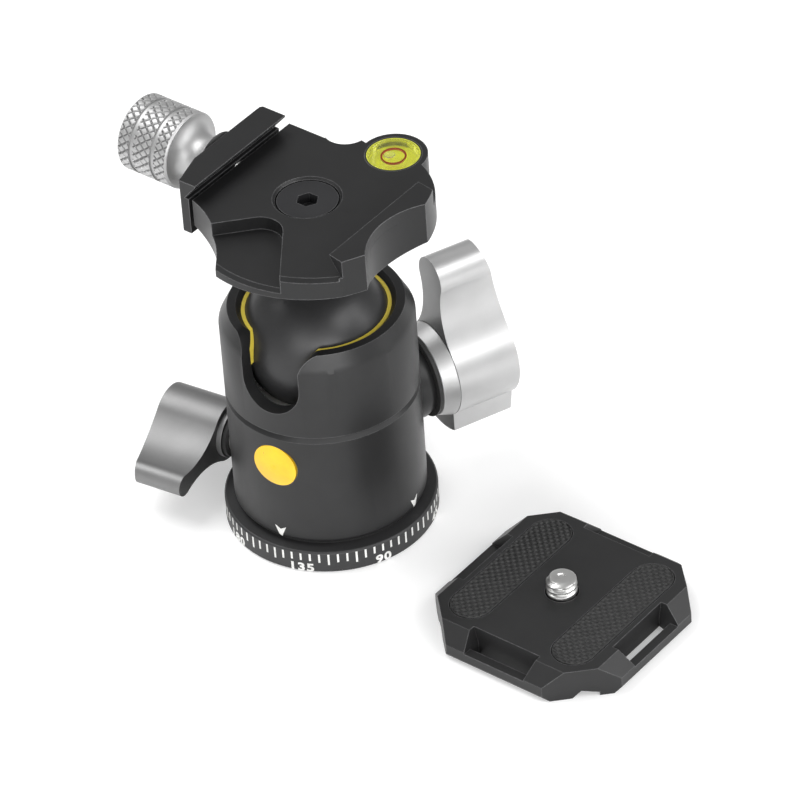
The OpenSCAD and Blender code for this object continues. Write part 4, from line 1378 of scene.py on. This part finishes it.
@dataclass
class Level:
    """Bubble level sunk into the clamp's lobe.

    Attributes:
        place: Its place, sideways and lengthways.
        bed_z: Height of the clamp's bed.
        glass_t: Thickness of the glass.
        bubble_r: Radius of the bubble.
        bubble_off: Place of the bubble left of the centre.
        bubble_t: Thickness of the bubble.
        film: Hair's breadth by which the fluid is smaller than its hollow.
    """

    place: Pair = LEVEL_AT
    bed_z: float = 79.05
    glass_t: float = 1.1
    bubble_r: float = 1.15
    bubble_off: float = 1.0
    bubble_t: float = 0.33
    film: float = 0.015

    def bubble(self) -> Shape:
        """Bubble: an ellipsoid flattened under the glass, (R cos t, T sin t) carried round."""
        rows = 17
        t = np.linspace(-np.pi / 2, np.pi / 2, rows)
        r = self.bubble_r * np.cos(t)
        r[[0, -1]] = 0
        profile = np.stack([r, self.bubble_t / 2 * np.sin(t)], 1)
        middle = self.bed_z - self.glass_t - self.bubble_t / 2 - HAIR
        return moved(revolve(profile, SMALL_ROUND), self.place[0] - self.bubble_off, self.place[1], middle)

    def build(self) -> None:
        """Dresses the level and adds its bubble.

        The fluid is shrunk by a hair, so that its faces don't lie in those of cup and glass.
        """
        dress(Skin.VIAL, "level_cup", width=0.08)
        dress(Skin.FLUID, "level_fluid")
        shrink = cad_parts["level_fluid"].modifiers.new("shrink", "DISPLACE")
        shrink.mid_level = 0.0
        shrink.strength = -self.film * MM
        dress(Skin.TARGET, "level_mark")
        dress(Skin.GLASS, "level_glass", width=0.12)
        add("air_bubble", self.bubble(), Skin.BUBBLE, "clamp", ("level_bubble",))


@dataclass
class Plate:
    """Loose camera plate with its pads and screw.

    Attributes:
        x: Place of the plate's centre, sideways.
        y: Place of the plate's centre, lengthways.
        top: Height of the plate's top.
        pad_x: Distance of the pads' middle from the centre.
        pad_r: Radius of the pads' ends.
        pad_half: Half length of the pads.
        pad_gap: Gap between a pad and its recess.
        pad_in: Depth of the pads' recess.
        pad_out: Rise of the pads above the plate.
        pad_round: Rounding of a pad's rim.
        cell: Size of one cell of the pads' weave.
        relief: Depth of the weave.
        square: How square the weave's blocks are.
        fade: Width of the strip in which the weave grows from the rim.
        bunch: Share by which the pad's rows bunch up at its ends.
        end_w: Half width of a pad's first and last row.
        screw_r: Radius of the camera screw.
        neck_r: Radius of its neck inside the plate.
        neck_in: How far the neck reaches into the head.
        thread_from: Height over the plate at which its thread starts.
        thread_past: How far past its end the thread would run out.
        screw_up: Its rise above the plate.
        screw_edge: Rounding of its end.
        dimple_r: Radii of the rim and the floor of the dimple in its end.
        dimple_d: Depth of the dimple.
        head_r: Radius of its head.
        head_z: Height of the head's underside.
        head_t: Thickness of the head.
        coin_w: Width of the coin slot.
        coin_d: Depth of the coin slot.
    """

    x: float = 61.3
    y: float = -2.6
    top: float = 7.0
    pad_x: float = 12.75
    pad_r: float = 4.6
    pad_half: float = 17.8
    pad_gap: float = 0.12
    pad_in: float = 1.2
    pad_out: float = 0.3
    pad_round: float = 0.25
    cell: float = 1.7
    relief: float = 0.42
    square: float = 3.5
    fade: float = 0.5
    bunch: float = 0.35
    end_w: float = 0.04
    screw_r: float = 3.175
    neck_r: float = 2.59
    neck_in: float = 0.3
    thread_from: float = 0.3
    thread_past: float = 0.6
    screw_up: float = 3.7
    screw_edge: float = 0.85
    dimple_r: Pair = (1.25, 1.1)
    dimple_d: float = 0.25
    head_r: float = 7.0
    head_z: float = 0.6
    head_t: float = 2.4
    coin_w: float = 1.4
    coin_d: float = 1.1

    def pad(self, side: int) -> Shape:
        """Rubber pad: a stadium plan whose top carries a staggered weave of small blocks.

        The top is a grid over (u, v) in -1..1: y grows with v, x is u times the stadium's half
        width there, and the height is the product of two squared-off sines, faded at the rim.

        Args:
            side: -1 for the left pad, 1 for the right one.

        Returns:
            The closed pad.
        """
        rows, columns = 300, 81
        half, radius = self.pad_half - self.pad_gap, self.pad_r - self.pad_gap
        even, bunched = np.linspace(-1, 1, rows), np.sin(np.linspace(-0.5, 0.5, rows) * np.pi)
        y = (bunched * self.bunch + even * (1 - self.bunch)) * half
        beyond = np.clip(np.abs(y) - (half - radius), 0, radius)
        width = np.sqrt(np.maximum(radius ** 2 - beyond ** 2, self.end_w ** 2))
        u = np.linspace(-1, 1, columns)
        xs, ys = u[None, :] * width[:, None], np.repeat(y[:, None], columns, 1)
        wave = np.sin(2 * np.pi * xs / self.cell) * np.sin(2 * np.pi * ys / self.cell)
        rim = np.minimum(width[:, None] - np.abs(xs), half - np.abs(ys))
        blocks = (0.5 - 0.5 * np.tanh(self.square * wave)) * np.clip(rim / self.fade, 0, 1)
        top = self.top + self.pad_out - self.relief * blocks
        top -= self.pad_round * (1 - np.clip(rim / self.pad_round, 0, 1)) ** 2
        base = np.full_like(top, self.top - self.pad_in + HAIR)
        grids = [np.stack([xs, ys, height], 2) for height in (top, base)]
        return moved(slab(*grids), self.x + side * self.pad_x, self.y)

    def screw(self) -> Shape:
        """Camera screw: threaded shank, and a head split by a coin slot.

        The shank is a profile carried round with a helical V; the head is a disc over two
        circle segments that stand either side of the slot.

        Returns:
            The screw as closed bodies that overlap by a hair.
        """
        rows = 60
        tip = self.top + self.screw_up
        neck = self.head_z + self.head_t
        low, high = self.top + self.thread_from, tip + self.thread_past
        thread = Thread(pitch=1.27, depth=0.62, low=low, high=high, crest=0.25)
        z = np.linspace(self.top + HAIR, tip - self.screw_edge, rows)
        wall = np.stack([np.full_like(z, self.screw_r - HAIR / 2), z], 1)
        middle = (self.screw_r - self.screw_edge, tip - self.screw_edge)
        point = arc(middle, self.screw_edge, start=8, end=84, count=8)
        floor = tip - self.dimple_d
        face = [[self.dimple_r[0], tip], [self.dimple_r[1], floor], [0, floor]]
        foot = [[0, neck - self.neck_in], [self.neck_r, neck - self.neck_in],
                [self.neck_r, self.top + HAIR / 2]]
        shank = revolve(np.concatenate([foot, wall, point, face]), ROUND, thread.swell)
        disc = arc((0, 0), self.head_r, 0, 360, ROUND + 1)[:-1]
        slot_top = self.head_z + self.coin_d
        bend = math.degrees(math.asin(self.coin_w / 2 / self.head_r))
        parts = [shank, prism(disc, slot_top, neck)]
        for start in (bend, 180 + bend):
            half = arc((0, 0), self.head_r, start, start + 180 - 2 * bend, ROUND // 2 + 1)
            parts.append(prism(half, self.head_z, slot_top + 2 * HAIR))
        return moved(join_shapes(parts), self.x, self.y)

    def build(self) -> None:
        """Dresses the plate and adds its pads and screw."""
        dress(Skin.PLATE, "plate_body", width=0.2)
        dress(Skin.STEEL, "screw_clip")
        for side, name in ((-1, "pad_left"), (1, "pad_right")):
            add(f"{name}_rubber", self.pad(side), Skin.PAD, "plate", (name,), limit=60)
        add("plate_screw", self.screw(), Skin.STEEL, "camera_screw", ("camera_screw",), limit=34)


# Studio


@dataclass(frozen=True)
class Lamp:
    """A rectangular soft lamp that faces the head.

    Attributes:
        name: Name of the lamp.
        place: Its place in metres.
        size: Width and height in metres.
        power: Power in watts.
        aim: Point that it faces, in metres.
    """

    name: str
    place: Triple
    size: Pair
    power: float
    aim: Triple = (0.01, 0, 0.04)

    def hang(self) -> None:
        """Adds the lamp to the scene and turns it to its aim."""
        data = bpy.data.lights.new(self.name, "AREA")
        data.shape = "RECTANGLE"
        data.size, data.size_y = self.size
        data.energy = self.power
        lamp = bpy.data.objects.new(self.name, data)
        way = (Vector(self.aim) - Vector(self.place)).normalized()
        turn = way.to_track_quat("-Z", "Y").to_matrix().to_4x4()
        lamp.matrix_world = Matrix.Translation(self.place) @ turn
        bpy.context.scene.collection.objects.link(lamp)


@dataclass
class Studio:
    """Floor, lights, world and camera.

    Attributes:
        eye: Place of the camera in millimetres.
        right: The camera's right-hand direction.
        up: Its upward direction.
        back: Its backward direction.
        lens: Focal length in millimetres.
        sensor: Width of the sensor in millimetres.
        clip: Nearest and furthest distance that it sees, in metres.
        floor_size: Side of the floor in metres.
        floor_tone: Colour of the floor.
        floor_cloud: Lighter tone of the floor's faint clouds, over that one.
        floor_lift: Light that the floor adds for the eye and in reflections.
        sky: Strength of the world's light.
        lamps: The lamps round the head.
    """

    eye: Triple = (633.983, -726.263, 786.995)
    right: Triple = (0.79104814, 0.60904439, -0.05751319)
    up: Triple = (-0.34289749, 0.51928765, 0.78279094)
    back: Triple = (0.50662032, -0.59950419, 0.61962132)
    lens: float = 270.147
    sensor: float = 36.0
    clip: Pair = (0.05, 50.0)
    floor_size: float = 14.0
    floor_tone: float = 0.80
    floor_cloud: float = 0.01
    floor_lift: float = 0.30
    sky: float = 0.42
    lamps: tuple[Lamp, ...] = (
        Lamp("key", (-0.55, -0.10, 0.95), (0.7, 0.7), 7.5),
        Lamp("fill", (0.25, -1.15, 0.45), (0.5, 0.6), 3.0),
        Lamp("rim", (0.85, 0.55, 0.60), (0.3, 0.8), 3.0),
        Lamp("shoulder", (0.80, 0.02, 0.82), (0.5, 0.5), 2.8),
        Lamp("strip", (0.86, -0.75, 0.38), (0.9, 0.22), 6.5),
    )

    def camera(self) -> None:
        """Places the camera at the photograph's angle."""
        data = bpy.data.cameras.new("camera")
        data.lens, data.sensor_width = self.lens, self.sensor
        data.clip_start, data.clip_end = self.clip
        eye = bpy.data.objects.new("camera", data)
        turn = Matrix((self.right, self.up, self.back)).transposed().to_4x4()
        eye.matrix_world = Matrix.Translation([part * MM for part in self.eye]) @ turn
        bpy.context.scene.collection.objects.link(eye)
        bpy.context.scene.camera = eye

    def floor(self) -> None:
        """Lays a large pale floor that looks near white to the eye but keeps the shadow."""
        half = self.floor_size / 2 / MM
        plan = np.array([[-half, -half, 0], [half, -half, 0], [half, half, 0], [-half, half, 0]])
        floor = put_mesh("floor", (plan, [np.array([[0, 1, 2, 3]])]), smooth=False)
        tree = Tree("floor_paper")
        tree.set(Roughness=0.95, Specular_IOR_Level=0.0, Emission_Color=(1, 1, 1, 1))
        clouds = tree.clouds(size=60.0, detail=2, source=tree.MIDDLE)
        pale = tree.blend(clouds, (self.floor_tone,) * 3, (self.floor_tone + self.floor_cloud,) * 3)
        path = tree.nodes.new("ShaderNodeLightPath")
        seen = path.outputs["Is Camera Ray"]
        for ray in ("Is Glossy Ray", "Is Transmission Ray"):
            seen = tree.math("MAXIMUM", seen, path.outputs[ray])
        tree.drive(Base_Color=pale, Emission_Strength=tree.math("MULTIPLY", seen, self.floor_lift))
        floor.data.materials.append(tree.material)

    def world(self) -> None:
        """Sets an even grey light that the eye sees as white."""
        world = bpy.data.worlds.new("studio")
        world.use_nodes = True
        nodes, links = world.node_tree.nodes, world.node_tree.links
        nodes.clear()
        path = nodes.new("ShaderNodeLightPath")
        strength = nodes.new("ShaderNodeMapRange")
        strength.inputs["To Min"].default_value = self.sky
        strength.inputs["To Max"].default_value = 1.0
        sky = nodes.new("ShaderNodeBackground")
        sky.inputs["Color"].default_value = (1, 1, 1, 1)
        output = nodes.new("ShaderNodeOutputWorld")
        links.new(path.outputs["Is Camera Ray"], strength.inputs["Value"])
        links.new(strength.outputs["Result"], sky.inputs["Strength"])
        links.new(sky.outputs[0], output.inputs["Surface"])
        bpy.context.scene.world = world

    def build(self) -> None:
        """Sets up everything round the object."""
        self.camera()
        self.floor()
        self.world()
        for lamp in self.lamps:
            lamp.hang()
        bpy.context.scene.view_settings.view_transform = "Standard"


def main() -> None:
    """Builds the studio and every sub-assembly, in order."""
    logging.basicConfig(level=logging.INFO, format="%(name)s: %(message)s")
    for part in (Studio(), Base(), Casing(), Ball(), Knobs(), Clamp(), Level(), Plate()):
        part.build()
        LOG.info("built %s", type(part).__name__.lower())


if __name__ == "__main__":
    main()
